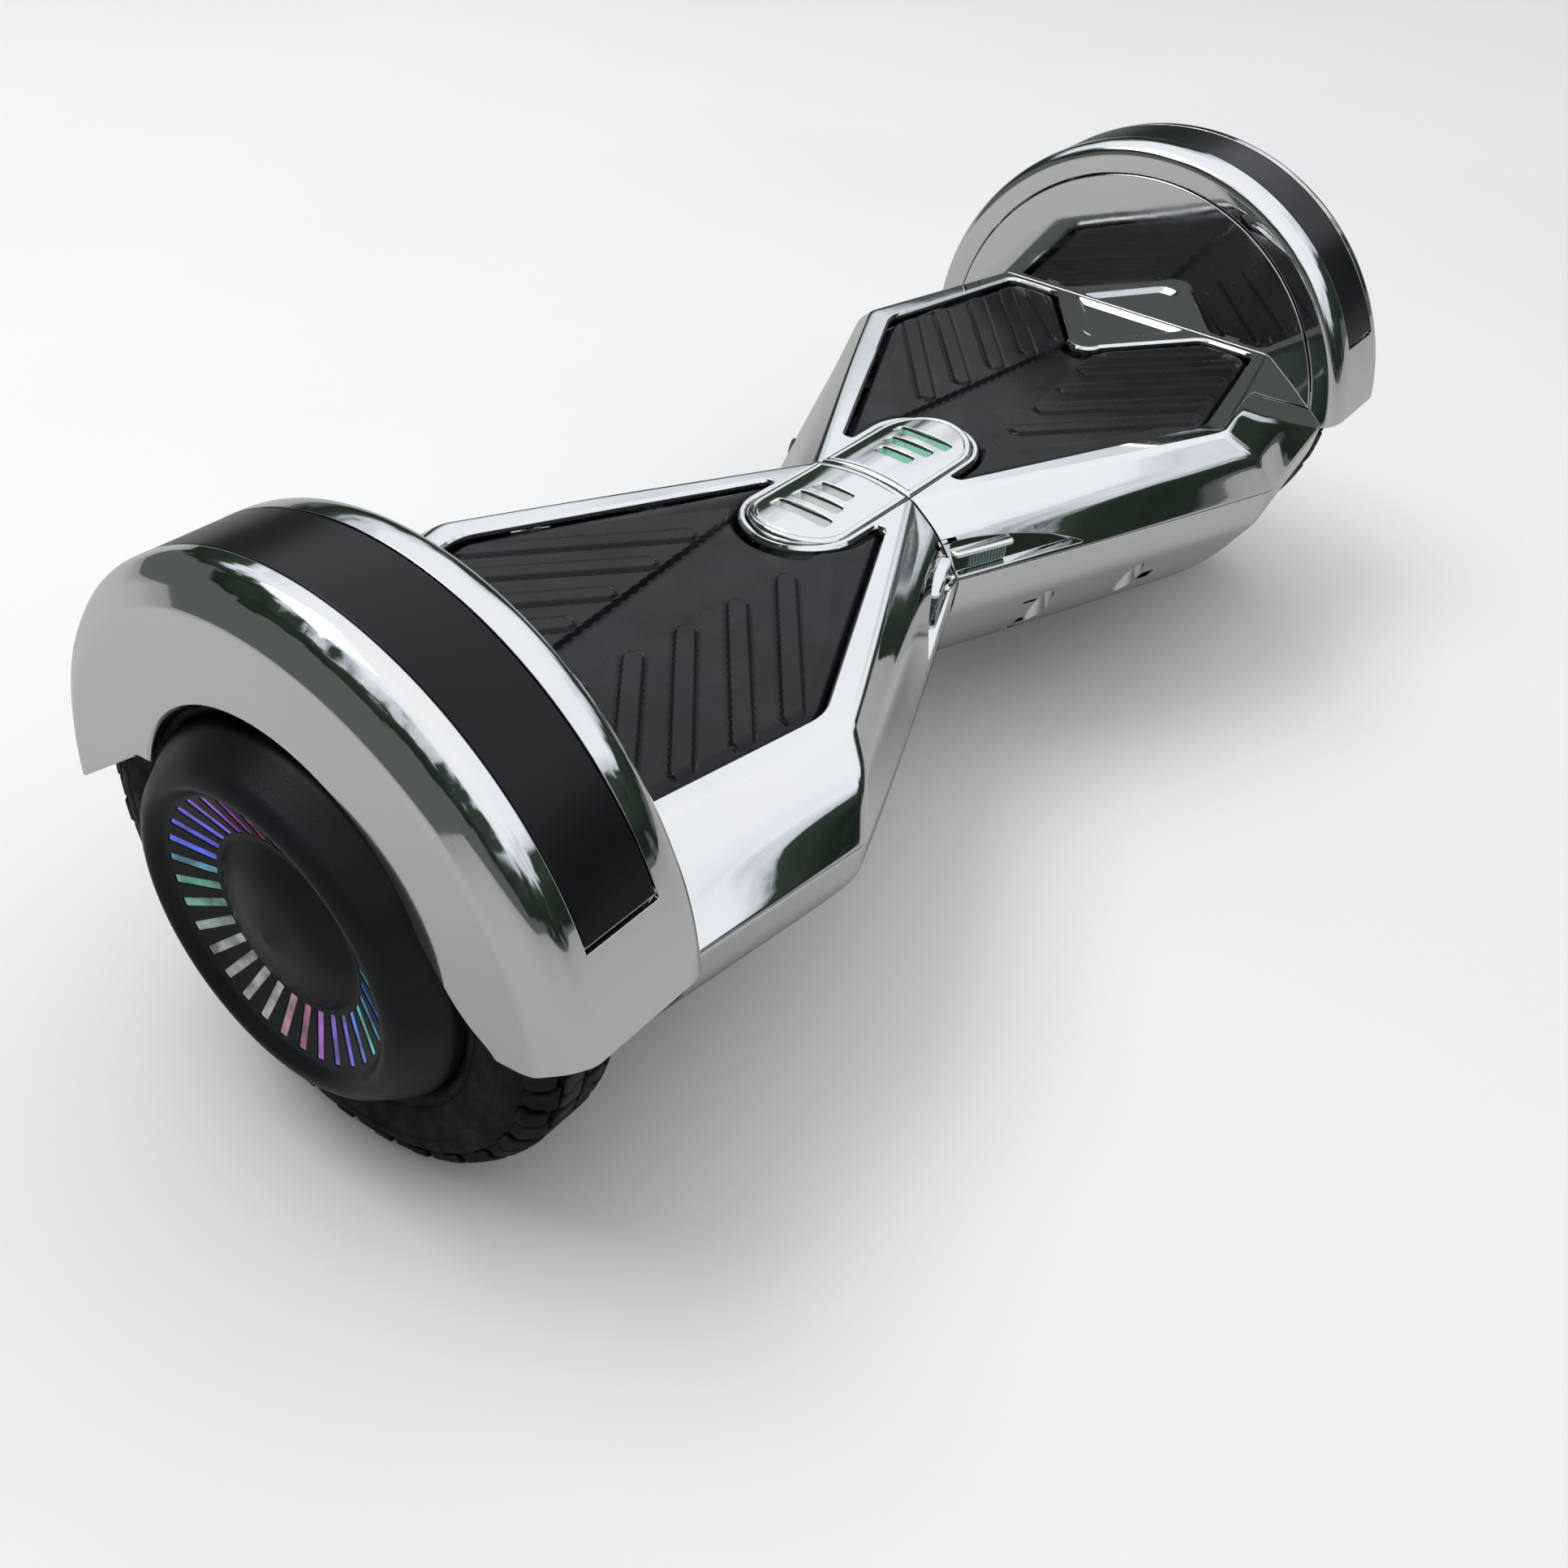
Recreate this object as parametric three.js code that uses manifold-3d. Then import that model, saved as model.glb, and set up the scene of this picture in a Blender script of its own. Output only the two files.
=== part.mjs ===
// A self balancing board: two mirrored halves that twist about a centre pivot,
// each carried by a hub motor wheel. Millimetres, +Z up, +X along the wheel axles,
// -Y is the front, and the origin is on the ground below the pivot.
import * as THREE from "three";
import { mergeVertices } from "three/addons/utils/BufferGeometryUtils.js";
import Module from "manifold-3d";

const wasm = await Module();
wasm.setup();

// ---------- driving dimensions ----------
const AXLE_Z = 100;
const TYRE_RADIUS = 100;
const SEAM_HALF_GAP = 0.6;
const FIT = 0.4;
const WALL = 3;
const DISC_X = 241.3;
const DISC_THICK = 2.5;
const DISC_RADIUS = 102.4;
const PARTING_Z0 = 106;
const PARTING_SLOPE = 4 / 245;
const PARTING_GAP = 0.4;
const FENDER_RADIUS = 117;
const FENDER_OUTER_X = 302;
const FENDER_BOTTOM_Z = 103;
const STRIP_X0 = 256.3;
const STRIP_X1 = 284.8;
const STRIP_END_Z = 146.4;
const PAD_TOP_Z = 134.4;
const PAD_THICK = 6;
const LANE_DEPTH = 1.2;
const RIB_HEIGHT = 0.9;
const RIB_WIDTH = 7.6;
const STUD_Y = 50;
const STUD_Z0 = 101;
const BOARD_Z0 = 97;
const BOARD_Z1 = 98.6;
const COVER_HALF_WIDTH = 22.4;
const COVER_ARC_X = 42.6;
const COVER_CROWN_Z = 138;
const COVER_CROWN_RADIUS = 80.7;
const CHASSIS_Z0 = 90;
const CHASSIS_Z1 = 94;
const AXLE_RADIUS = 8;
const PIVOT_RADIUS = 11;
const PIVOT_BORE = 7;
const RIM_RADIUS = 64;
const HUB_INNER_X = 256.5;
const HUB_OUTER_X = 294.2;
const SLOT_COUNT = 32;
const PIVOT_ROOM_RADIUS = 24;
const AXLE_ROOM_RADIUS = 16;
const BEARING_SIDES = 28;
const SMOOTH_SIDES = 64;
// How far each side wall swings out from the X axis between the seam and the widest point.
const WALL_TURN = Math.atan2(66.9, 162.7);

// ---------- materials ----------
function finish(color, roughness, metalness) {
  return new THREE.MeshStandardMaterial({ color, roughness, metalness });
}

const plated = finish(0xd8dadc, 0.06, 1.0);
const padRubber = finish(0x15171b, 0.38, 0.0);
const gripFilm = finish(0x0c0d10, 0.35, 0.0);
const tyreRubber = finish(0x141414, 0.85, 0.0);
const satinBlack = finish(0x131416, 0.42, 0.0);
const castMetal = finish(0x9a9da1, 0.5, 0.9);
const steel = finish(0xb4b6b9, 0.3, 1.0);
const bronze = finish(0xa9803c, 0.4, 1.0);
const copperCoils = finish(0x8a4a25, 0.45, 0.8);
const clearDiffuser = finish(0xcfe8dc, 0.15, 0.0);
const circuitGreen = finish(0x1d5a33, 0.5, 0.0);
const shrinkWrap = finish(0x1f4fae, 0.3, 0.0);
const blackPlastic = finish(0x1b1c1e, 0.6, 0.0);
const cableJacket = finish(0x202020, 0.7, 0.0);

// ---------- solids ----------
function solid(geometry) {
  const bare = geometry.clone();
  bare.deleteAttribute("normal");
  bare.deleteAttribute("uv");
  const merged = mergeVertices(bare, 1e-4);
  const mesh = new wasm.Mesh({
    numProp: 3,
    vertProperties: new Float32Array(merged.attributes.position.array),
    triVerts: new Uint32Array(merged.index.array),
  });
  return new wasm.Manifold(mesh);
}

function toGeometry(manifold) {
  const mesh = manifold.getMesh();
  const geometry = new THREE.BufferGeometry();
  geometry.setAttribute("position", new THREE.BufferAttribute(mesh.vertProperties, 3));
  geometry.setIndex(new THREE.BufferAttribute(mesh.triVerts, 1));
  geometry.computeVertexNormals();
  return geometry;
}

function join(...parts) {
  return parts.reduce((whole, part) => whole.add(part));
}

function cut(body, ...tools) {
  return tools.reduce((whole, tool) => whole.subtract(tool), body);
}

function box(x0, x1, y0, y1, z0, z1) {
  const geometry = new THREE.BoxGeometry(x1 - x0, y1 - y0, z1 - z0);
  geometry.translate((x0 + x1) / 2, (y0 + y1) / 2, (z0 + z1) / 2);
  return solid(geometry);
}

// A round bar along X.
function bar(x0, x1, radius, y = 0, z = AXLE_Z, sides = 24) {
  const geometry = new THREE.CylinderGeometry(radius, radius, x1 - x0, sides);
  geometry.rotateZ(-Math.PI / 2);
  geometry.translate((x0 + x1) / 2, y, z);
  return solid(geometry);
}

// A round post along Z.
function post(x, y, z0, z1, radius, sides = 16) {
  const geometry = new THREE.CylinderGeometry(radius, radius, z1 - z0, sides);
  geometry.rotateX(Math.PI / 2);
  geometry.translate(x, y, (z0 + z1) / 2);
  return solid(geometry);
}

// A closed profile of [x, radius] points, turned about the wheel axle.
function turned(profile, sides = 44, halfStep = false) {
  const points = [...profile, profile[0]].map(([x, radius]) => new THREE.Vector2(radius, x));
  const geometry = new THREE.LatheGeometry(points, sides);
  geometry.rotateZ(-Math.PI / 2);
  if (halfStep) {
    geometry.rotateX(Math.PI / sides);
  }
  geometry.translate(0, 0, AXLE_Z);
  const body = solid(geometry);
  return body.volume() > 0 ? body : solid(flipped(geometry));
}

function flipped(geometry) {
  const turnedRound = geometry.clone();
  const index = turnedRound.index.array;
  for (let i = 0; i < index.length; i += 3) {
    [index[i + 1], index[i + 2]] = [index[i + 2], index[i + 1]];
  }
  return turnedRound;
}

// A flat outline of [x, y] points, raised from z0 to z1.
function plate(outline, z0, z1) {
  const shape = new THREE.Shape(outline.map(([x, y]) => new THREE.Vector2(x, y)));
  const geometry = new THREE.ExtrudeGeometry(shape, { depth: z1 - z0, bevelEnabled: false });
  geometry.translate(0, 0, z0);
  return solid(geometry);
}

// A flat outline of [y, z] points, pushed from x0 to x1.
function slab(outline, x0, x1) {
  const shape = new THREE.Shape(outline.map(([y, z]) => new THREE.Vector2(y, z)));
  const geometry = new THREE.ExtrudeGeometry(shape, { depth: x1 - x0, bevelEnabled: false });
  geometry.applyMatrix4(new THREE.Matrix4().set(0, 0, 1, x0, 1, 0, 0, 0, 0, 1, 0, 0, 0, 0, 0, 1));
  return solid(geometry);
}

function arc(cx, cy, radius, from, to, steps) {
  return Array.from({ length: steps + 1 }, (_, i) => {
    const angle = from + ((to - from) * i) / steps;
    return [cx + radius * Math.cos(angle), cy + radius * Math.sin(angle)];
  });
}

function mirroredInY(points) {
  return [...points, ...points.map(([x, y]) => [x, -y]).reverse()];
}

// Rings of [x, y, z] points, skinned in order and closed by a flat cap at each end.
function loft(rings) {
  const count = rings[0].length;
  const index = [];
  for (let r = 0; r + 1 < rings.length; r++) {
    for (let i = 0; i < count; i++) {
      const a = r * count + i;
      const b = r * count + ((i + 1) % count);
      index.push(a, b, a + count, b, b + count, a + count);
    }
  }
  const face = rings[0].map(([, y, z]) => new THREE.Vector2(y, z));
  const last = (rings.length - 1) * count;
  const endFace = rings[rings.length - 1].map(([, y, z]) => new THREE.Vector2(y, z));
  for (const [a, b, c] of THREE.ShapeUtils.triangulateShape(face, [])) {
    index.push(a, c, b);
  }
  for (const [a, b, c] of THREE.ShapeUtils.triangulateShape(endFace, [])) {
    index.push(last + a, last + b, last + c);
  }
  const geometry = new THREE.BufferGeometry();
  geometry.setAttribute("position", new THREE.Float32BufferAttribute(rings.flat(2), 3));
  geometry.setIndex(index);
  const body = solid(geometry);
  return body.volume() > 0 ? body : solid(flipped(geometry));
}

// ---------- the body's outer form ----------
// Each station lists the half section from the deck edge down to the keel:
// deck edge, shoulder, parting line, lip, belly and keel, as [x, half width, z].
const STATIONS = [
  [[0, 24, 134], [0, 37.5, 124], [0, 51, 106], [0, 49.5, 91], [0, 40, 67], [0, 26, 52]],
  [[145, 96.7, 136.4], [155.5, 110.5, 125], [162.7, 117.9, 108.7], [162, 115.5, 92],
    [158, 98, 64], [150, 74, 46]],
  [[DISC_X, 75, 136.4], [DISC_X, 92.5, 124], [DISC_X, 109.3, 110], [DISC_X, 107, 94],
    [DISC_X, 88, 64], [DISC_X, 62, 46]],
];
// How far the wall's inner face stands in from the outer one at each of those points.
const INSETS = [[2.2, -WALL], [3.2, -1.4], [3.2, 0], [3.2, 0.4], [2.6, 2], [1.4, WALL]];

function ring(station, inset, x) {
  const half = station.map(([px, y, z], i) => {
    const [dy, dz] = inset ? INSETS[i] : [0, 0];
    return [x ?? px, y - dy, z + dz];
  });
  const front = half.map(([px, y, z]) => [px, -y, z]);
  return [...front, ...half.reverse()];
}

function bodyForm(x0, x1, inset) {
  const [centre, widest, wheelEnd] = STATIONS;
  return loft([ring(centre, inset, x0), ring(widest, inset), ring(wheelEnd, inset, x1)]);
}

// The half space above (or below) the sloping parting plane, less half the gap.
function partingSide(above) {
  const far = 330;
  const shift = above ? PARTING_GAP / 2 : -PARTING_GAP / 2;
  const reach = above ? 150 : -150;
  const z0 = PARTING_Z0 + shift;
  const z1 = PARTING_Z0 + PARTING_SLOPE * far + shift;
  const shape = new THREE.Shape([
    new THREE.Vector2(-10, z0),
    new THREE.Vector2(far, z1),
    new THREE.Vector2(far, z1 + reach),
    new THREE.Vector2(-10, z0 + reach),
  ]);
  const geometry = new THREE.ExtrudeGeometry(shape, { depth: 320, bevelEnabled: false });
  geometry.rotateX(Math.PI / 2);
  geometry.translate(0, 160, 0);
  return solid(geometry);
}

// ---------- deck outlines ----------
function coverOutline(grow) {
  const r = COVER_HALF_WIDTH + grow;
  const end = arc(COVER_ARC_X, 0, r, -Math.PI / 2, Math.PI / 2, 14);
  return [[SEAM_HALF_GAP - grow, -r], ...end, [SEAM_HALF_GAP - grow, r]];
}

// The foot pad's outline: two pointed ends beside the centre cover, a wide middle,
// and a notch at the wheel end for the plated tongue.
function padOutline(shrink) {
  const coverSide = COVER_HALF_WIDTH + 3.4 + shrink;
  const tongueTip = arc(190, 0, 8.6 + shrink, Math.PI * 0.5, Math.PI * 1.5, 8);
  return [
    [28 + 2 * shrink, -coverSide],
    [28 + 2 * shrink, -29.7 + shrink],
    [146, -85.4 + shrink],
    [235.8 - shrink, -69 + shrink],
    [235.8 - shrink, -41.5 - shrink],
    ...tongueTip.reverse(),
    [235.8 - shrink, 41.5 + shrink],
    [235.8 - shrink, 69 - shrink],
    [146, 85.4 - shrink],
    [28 + 2 * shrink, 29.7 - shrink],
    [28 + 2 * shrink, coverSide],
    ...arc(COVER_ARC_X, 0, coverSide, Math.PI / 2, -Math.PI / 2, 14),
  ];
}

// ---------- shells ----------
// The headlight hollow under the brow, on the front side beside the centre seam.
function browHollow(grow) {
  const outline = [
    [6 - grow, PARTING_Z0 + 1.5 - grow],
    [72 + grow, PARTING_Z0 + 3 - grow],
    [48 + grow / 2, 116.5 + grow],
    [26, 119.5 + grow],
    [6 - grow, 119 + grow],
  ];
  const geometry = new THREE.ExtrudeGeometry(
    new THREE.Shape(outline.map(([x, z]) => new THREE.Vector2(x, z))),
    { depth: 60, bevelEnabled: false },
  );
  geometry.rotateX(Math.PI / 2);
  const depthAtSeam = 37 - grow;
  geometry.rotateZ(-WALL_TURN);
  geometry.translate(0, -depthAtSeam, 0);
  return solid(geometry);
}

function upperShell() {
  const outer = bodyForm(SEAM_HALF_GAP, DISC_X, false);
  const hollow = bodyForm(SEAM_HALF_GAP + 2.4, DISC_X - WALL, true);
  const disc = bar(DISC_X - 0.5, DISC_X + DISC_THICK, DISC_RADIUS, 0, AXLE_Z, SMOOTH_SIDES);
  const brow = outer.intersect(browHollow(2.2));
  const body = join(cut(outer, hollow), brow, disc).intersect(partingSide(true));
  return cut(
    body,
    plate(padOutline(0), 120, 150),
    plate(coverOutline(FIT), 126, 150),
    browHollow(0),
    bar(-1, 60, PIVOT_ROOM_RADIUS),
    bar(200, 260, AXLE_ROOM_RADIUS),
  );
}

// The screw posts that hold the lower shell up to the chassis, as [x, y].
const BOSSES = [-1, 1].flatMap((side) => [[62, side * 47], [126, side * 66], [216, side * 70]]);

function lowerShell(drills) {
  const outer = bodyForm(SEAM_HALF_GAP, DISC_X, false);
  const hollow = bodyForm(SEAM_HALF_GAP + 2.4, DISC_X - WALL, true);
  const bosses = BOSSES.map(([x, y]) => post(x, y, 30, CHASSIS_Z0 - 0.4, 6.4, 8));
  const wells = BOSSES.map(([x, y]) => post(x, y, 30, CHASSIS_Z0 - 12, 4.4, 8));
  const screwHoles = BOSSES.map(([x, y]) => post(x, y, 60, CHASSIS_Z0 + 4, 1.7, 6));
  const body = join(cut(outer, hollow), join(...bosses).intersect(outer)).intersect(partingSide(false));
  return cut(
    body,
    bar(-1, 60, PIVOT_ROOM_RADIUS),
    bar(200, 260, AXLE_ROOM_RADIUS),
    ...wells,
    ...screwHoles,
    ...drills,
  );
}

function fender() {
  const profile = [
    [241.6, 103], [241.6, 107], [244, 111.6], [248.4, 115.2], [254.4, FENDER_RADIUS],
    [290, FENDER_RADIUS], [296, 115.6], [300.2, 112.6], [FENDER_OUTER_X, 109],
    [FENDER_OUTER_X, 40], [299.6, 40], [299.6, 108], [296.4, 111.4], [290, 113.4],
    [254.8, 113.4], [247.8, 109.6], [244.6, 103],
  ];
  const archTop = arc(0, 112, 63, Math.PI * 0.9, Math.PI * 0.1, 16);
  const archFoot = FENDER_BOTTOM_Z - 0.5;
  const archFront = [[-88, 60], [-88, archFoot], [-74, 111]];
  const archRear = [[66, 131], [104, archFoot], [104, 60]];
  const arch = slab([...archFront, ...archTop, ...archRear], 296, 306);
  const above = box(230, 310, -140, 140, FENDER_BOTTOM_Z, 230);
  const channel = turned([
    [STRIP_X0 - 0.3, 115.2], [STRIP_X0 - 0.3, 120], [STRIP_X1 + 0.3, 120], [STRIP_X1 + 0.3, 115.2],
  ]).intersect(box(230, 310, -140, 140, STRIP_END_Z - 2, 230));
  return cut(turned(profile).intersect(above), arch, channel);
}

function fenderStrip() {
  const band = turned([[STRIP_X0, 115.5], [STRIP_X0, 116.8], [STRIP_X1, 116.8], [STRIP_X1, 115.5]]);
  return band.intersect(box(230, 310, -140, 140, STRIP_END_Z, 230));
}

// ---------- foot pad ----------
// Each wing carries five raised ribs that run from the lane to the pad's edge.
const RIB_LANE_X = [81, 107, 133, 158, 184];
const RIB_EDGE = [[152, 77.5], [174, 73.5], [199, 68.5], [222, 64], [233, 52]];

function laneHalfWidth(x) {
  return 20 - ((x - 80) * 11) / 104;
}

function rib(x0, y0, x1, y1) {
  const angle = Math.atan2(y1 - y0, x1 - x0);
  const r = RIB_WIDTH / 2;
  return plate(
    [
      ...arc(x0, y0, r, angle + Math.PI / 2, angle + Math.PI * 1.5, 3),
      ...arc(x1, y1, r, angle - Math.PI / 2, angle + Math.PI / 2, 3),
    ],
    PAD_TOP_Z - 1,
    PAD_TOP_Z + RIB_HEIGHT,
  );
}

function footPad() {
  const base = plate(padOutline(0.8), PAD_TOP_Z - PAD_THICK, PAD_TOP_Z);
  const lane = plate(
    mirroredInY([[60, 17.5], [90, 18], [143, 13], [178, 8], [200, 3]]),
    PAD_TOP_Z - LANE_DEPTH,
    PAD_TOP_Z + 5,
  );
  const ribs = RIB_LANE_X.flatMap((x, i) => {
    const [edgeX, edgeY] = RIB_EDGE[i];
    const laneY = laneHalfWidth(x);
    return [-1, 1].map((side) => rib(x, side * laneY, edgeX, side * edgeY));
  });
  const ribArea = plate(padOutline(1.6), PAD_TOP_Z - 1, PAD_TOP_Z + 3);
  const studs = [-1, 1].map((side) => post(150, side * STUD_Y, STUD_Z0, PAD_TOP_Z - 3, 6));
  return join(cut(base, lane), join(...ribs).intersect(ribArea), ...studs);
}

// ---------- centre cover and its light ----------
function crown(radius) {
  return bar(-5, 90, radius, 0, COVER_CROWN_Z - COVER_CROWN_RADIUS, 120);
}

function indicatorCover() {
  const outside = plate(coverOutline(0), 130, 145).intersect(crown(COVER_CROWN_RADIUS));
  const inside = plate(coverOutline(-2), 120, 145).intersect(crown(COVER_CROWN_RADIUS - 2.2));
  const windows = [[22, 7], [33, 9.5], [44, 12]].map(([x, half]) =>
    box(x - 2.4, x + 2.4, -half, half, 120, 150));
  return cut(outside, inside, ...windows);
}

function indicatorLight() {
  return plate([[16, -14.5], [50, -14.5], [50, 14.5], [16, 14.5]], 130.4, 133.2);
}

function headlightLens() {
  const geometry = new THREE.BoxGeometry(20, 3, 6);
  geometry.rotateZ(-WALL_TURN);
  geometry.translate(22, -49.6, 111.6);
  return solid(geometry);
}

// ---------- structure ----------
function chassis() {
  const outline = mirroredInY([[10, 34], [154, 98], [DISC_X - 10, 92], [DISC_X - 10, 60]]);
  const floor = plate(outline, CHASSIS_Z0, CHASSIS_Z1);
  const rails = [-1, 1].map((side) =>
    box(70, DISC_X - 12, side * 60 - 2, side * 60 + 2, CHASSIS_Z1 - 1, 103));
  const pivotHub = bar(8, 62, 19);
  const pivotFoot = box(8, 62, -19, 19, CHASSIS_Z0, AXLE_Z);
  const cradle = box(192, DISC_X - 10, -22, 22, CHASSIS_Z0, AXLE_Z - 0.2);
  const standoffs = [-1, 1].flatMap((side) =>
    [136, 166].map((x) => post(x, side * 40, CHASSIS_Z1 - 1, BOARD_Z0 - 0.3, 3, 10)));
  return cut(
    join(floor, ...rails, pivotHub, pivotFoot, cradle, ...standoffs),
    bar(0, 70, 14.3),
    bar(185, 240, AXLE_RADIUS + 0.3),
    box(62.4, 128, -30, 30, 80, 110),
  );
}

function axleClamp() {
  const block = box(196, DISC_X - 14, -22, 22, AXLE_Z + 0.2, AXLE_Z + 14);
  return cut(block, bar(185, 240, AXLE_RADIUS + 0.3));
}

function clampScrew(x, y) {
  const head = post(x, y, AXLE_Z + 14.3, AXLE_Z + 18, 4, 12);
  return cut(head, post(x, y, AXLE_Z + 16.2, AXLE_Z + 20, 2, 6));
}

function axle() {
  const shaft = bar(190, 291, AXLE_RADIUS);
  return cut(shaft, bar(180, 250, 3.4, 0, AXLE_Z, 16));
}

// ---------- wheel ----------
function stator() {
  return turned([[266, AXLE_RADIUS + 0.3], [266, 50], [286, 50], [286, AXLE_RADIUS + 0.3]], 27);
}

function hubShell() {
  return turned([
    [HUB_INNER_X, 16.4], [HUB_INNER_X, 61], [259, RIM_RADIUS], [HUB_OUTER_X - 1, RIM_RADIUS],
    [HUB_OUTER_X - 1, 56], [261.5, 56], [261.5, 16.4],
  ], 36);
}

function bearing(x0, x1, outerRadius) {
  return turned([[x0, AXLE_RADIUS + 0.3], [x0, outerRadius], [x1, outerRadius],
    [x1, AXLE_RADIUS + 0.3]], BEARING_SIDES);
}

// The tyre's flats, not its corners, lie at the stated radius, so that it stands on one.
function tyre() {
  const sides = 44;
  const flats = 1 / Math.cos(Math.PI / sides);
  const profile = [
    [262, RIM_RADIUS + 0.6], [256.6, 67], [254, 78], [254.4, 88], [259, 96], [267, TYRE_RADIUS],
    [285, TYRE_RADIUS], [293, 96], [297.4, 88], [297.6, 78], [295, 68.6], [290, RIM_RADIUS + 0.6],
  ];
  return turned(profile.map(([x, radius]) => [x, radius * flats]), sides, true);
}

// The cap is a domed dish: a rounded outer rim, a sloping ring of slots, a domed middle.
function hubCap() {
  const shellProfile = [
    [HUB_OUTER_X, 67.5], [299, 67], [311, 58.6], [314, 53], [309, 49], [302.4, 31],
    [309, 17], [311.6, 0], [308.6, 0], [299.4, 31], [306.4, 51.6], [HUB_OUTER_X, 63.2],
  ];
  const slots = Array.from({ length: SLOT_COUNT }, (_, i) => {
    const geometry = new THREE.BoxGeometry(20, 13, 2.9);
    geometry.translate(305, 40.2, 0);
    geometry.rotateX(((i + 0.5) * 2 * Math.PI) / SLOT_COUNT);
    geometry.translate(0, 0, AXLE_Z);
    return solid(geometry);
  });
  return cut(turned(shellProfile, SLOT_COUNT), ...slots);
}

function hubLightRing() {
  return turned([[298.9, 32.5], [305, 48], [303, 49.6], [296.6, 33.4]], SLOT_COUNT);
}

// ---------- electronics ----------
function sensorBoard() {
  return cut(box(132, 170, -57, 57, BOARD_Z0, BOARD_Z1), box(146, 175, -16, 16, 90, 100));
}

function motorCable() {
  const route = new THREE.CatmullRomCurve3([
    new THREE.Vector3(188, 0, 100),
    new THREE.Vector3(178, 0, 101),
    new THREE.Vector3(160, 0, 106),
    new THREE.Vector3(136, 0, 104),
  ]);
  const section = new THREE.Shape(
    arc(0, 0, 3, 0, Math.PI * 2, 10).slice(0, -1).map(([x, y]) => new THREE.Vector2(x, y)),
  );
  const geometry = new THREE.ExtrudeGeometry(section, { steps: 10, extrudePath: route });
  return solid(geometry);
}

// The socket, its cap and the button are set square to the rear side wall.
const WALL_FITTING_Z = 98.5;

function placedOnRearWall(geometry, along, out, z) {
  geometry.translate(0, out, 0);
  geometry.rotateZ(WALL_TURN);
  const x = along * Math.cos(WALL_TURN);
  const y = 51 + along * Math.sin(WALL_TURN);
  geometry.translate(x, y - 0.5, z);
  return solid(geometry);
}

function wallDisc(along, out0, out1, radius, z = WALL_FITTING_Z, sides = 20) {
  const geometry = new THREE.CylinderGeometry(radius, radius, out1 - out0, sides);
  return placedOnRearWall(geometry, along, (out0 + out1) / 2, z);
}

const BUTTON_ALONG = 96;
const SOCKET_ALONG = 60;

function powerButton() {
  return join(wallDisc(BUTTON_ALONG, -7, 1.4, 5.6), wallDisc(BUTTON_ALONG, -8.4, -6, 6.8));
}

function chargeSocket() {
  const barrel = wallDisc(SOCKET_ALONG, -16, 0.4, 6.2);
  const nut = wallDisc(SOCKET_ALONG, -8.6, -6, 7, WALL_FITTING_Z, 6);
  return cut(join(barrel, nut), wallDisc(SOCKET_ALONG, -10, 2, 4.8, WALL_FITTING_Z, 20));
}

function chargeCap() {
  const flap = wallDisc(SOCKET_ALONG, 1, 3, 7.4);
  const tether = new THREE.BoxGeometry(7, 2, 6);
  return join(flap, placedOnRearWall(tether, SOCKET_ALONG + 9, 2, WALL_FITTING_Z));
}

function batteryPack() {
  return box(66, 190, -36, 36, 53.4, CHASSIS_Z0 - 0.6);
}

function batteryStrap() {
  const hoop = box(120, 136, -38.2, 38.2, 51.6, CHASSIS_Z0 - 0.3);
  return cut(hoop, box(118, 138, -36.3, 36.3, 53.1, 92));
}

function controlBoard() {
  return box(70, 176, -34, 34, 80, 81.8);
}

function controlHeatSink() {
  const fins = Array.from({ length: 7 }, (_, i) => box(74 + 15 * i, 80 + 15 * i, -30, 30, 53, 62));
  return join(box(72, 174, -32, 32, 61, 79.6), ...fins);
}

function speaker() {
  const cone = post(205, 0, 51, 56, 18, 24);
  return join(cone, post(205, 0, 55, 72, 12, 20));
}

// ---------- centre pivot ----------
const RING_X0 = 62.8;
const RING_X1 = 64.8;

function pivotShaft() {
  const groove = cut(bar(RING_X0 - 0.2, RING_X1 + 0.2, 14), bar(60, 70, PIVOT_RADIUS - 1));
  return cut(bar(-61, 70, PIVOT_RADIUS), bar(-70, 80, PIVOT_BORE, 0, AXLE_Z, 24), groove);
}

function sleeve(x0, x1) {
  return cut(bar(x0, x1, 14), bar(x0 - 5, x1 + 5, PIVOT_RADIUS + 0.15));
}

function retainingRing() {
  const band = cut(bar(RING_X0, RING_X1, 15), bar(60, 70, PIVOT_RADIUS - 0.7));
  return cut(band, box(60, 70, -3, 3, AXLE_Z, 120));
}

function pivotHarness() {
  return bar(-78, 78, 4.6, 0, AXLE_Z, 12);
}

// ---------- assembly ----------
const board = new THREE.Group();

function add(group, name, body, material) {
  const mesh = new THREE.Mesh(toGeometry(body), material);
  mesh.name = name;
  group.add(mesh);
}

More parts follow.
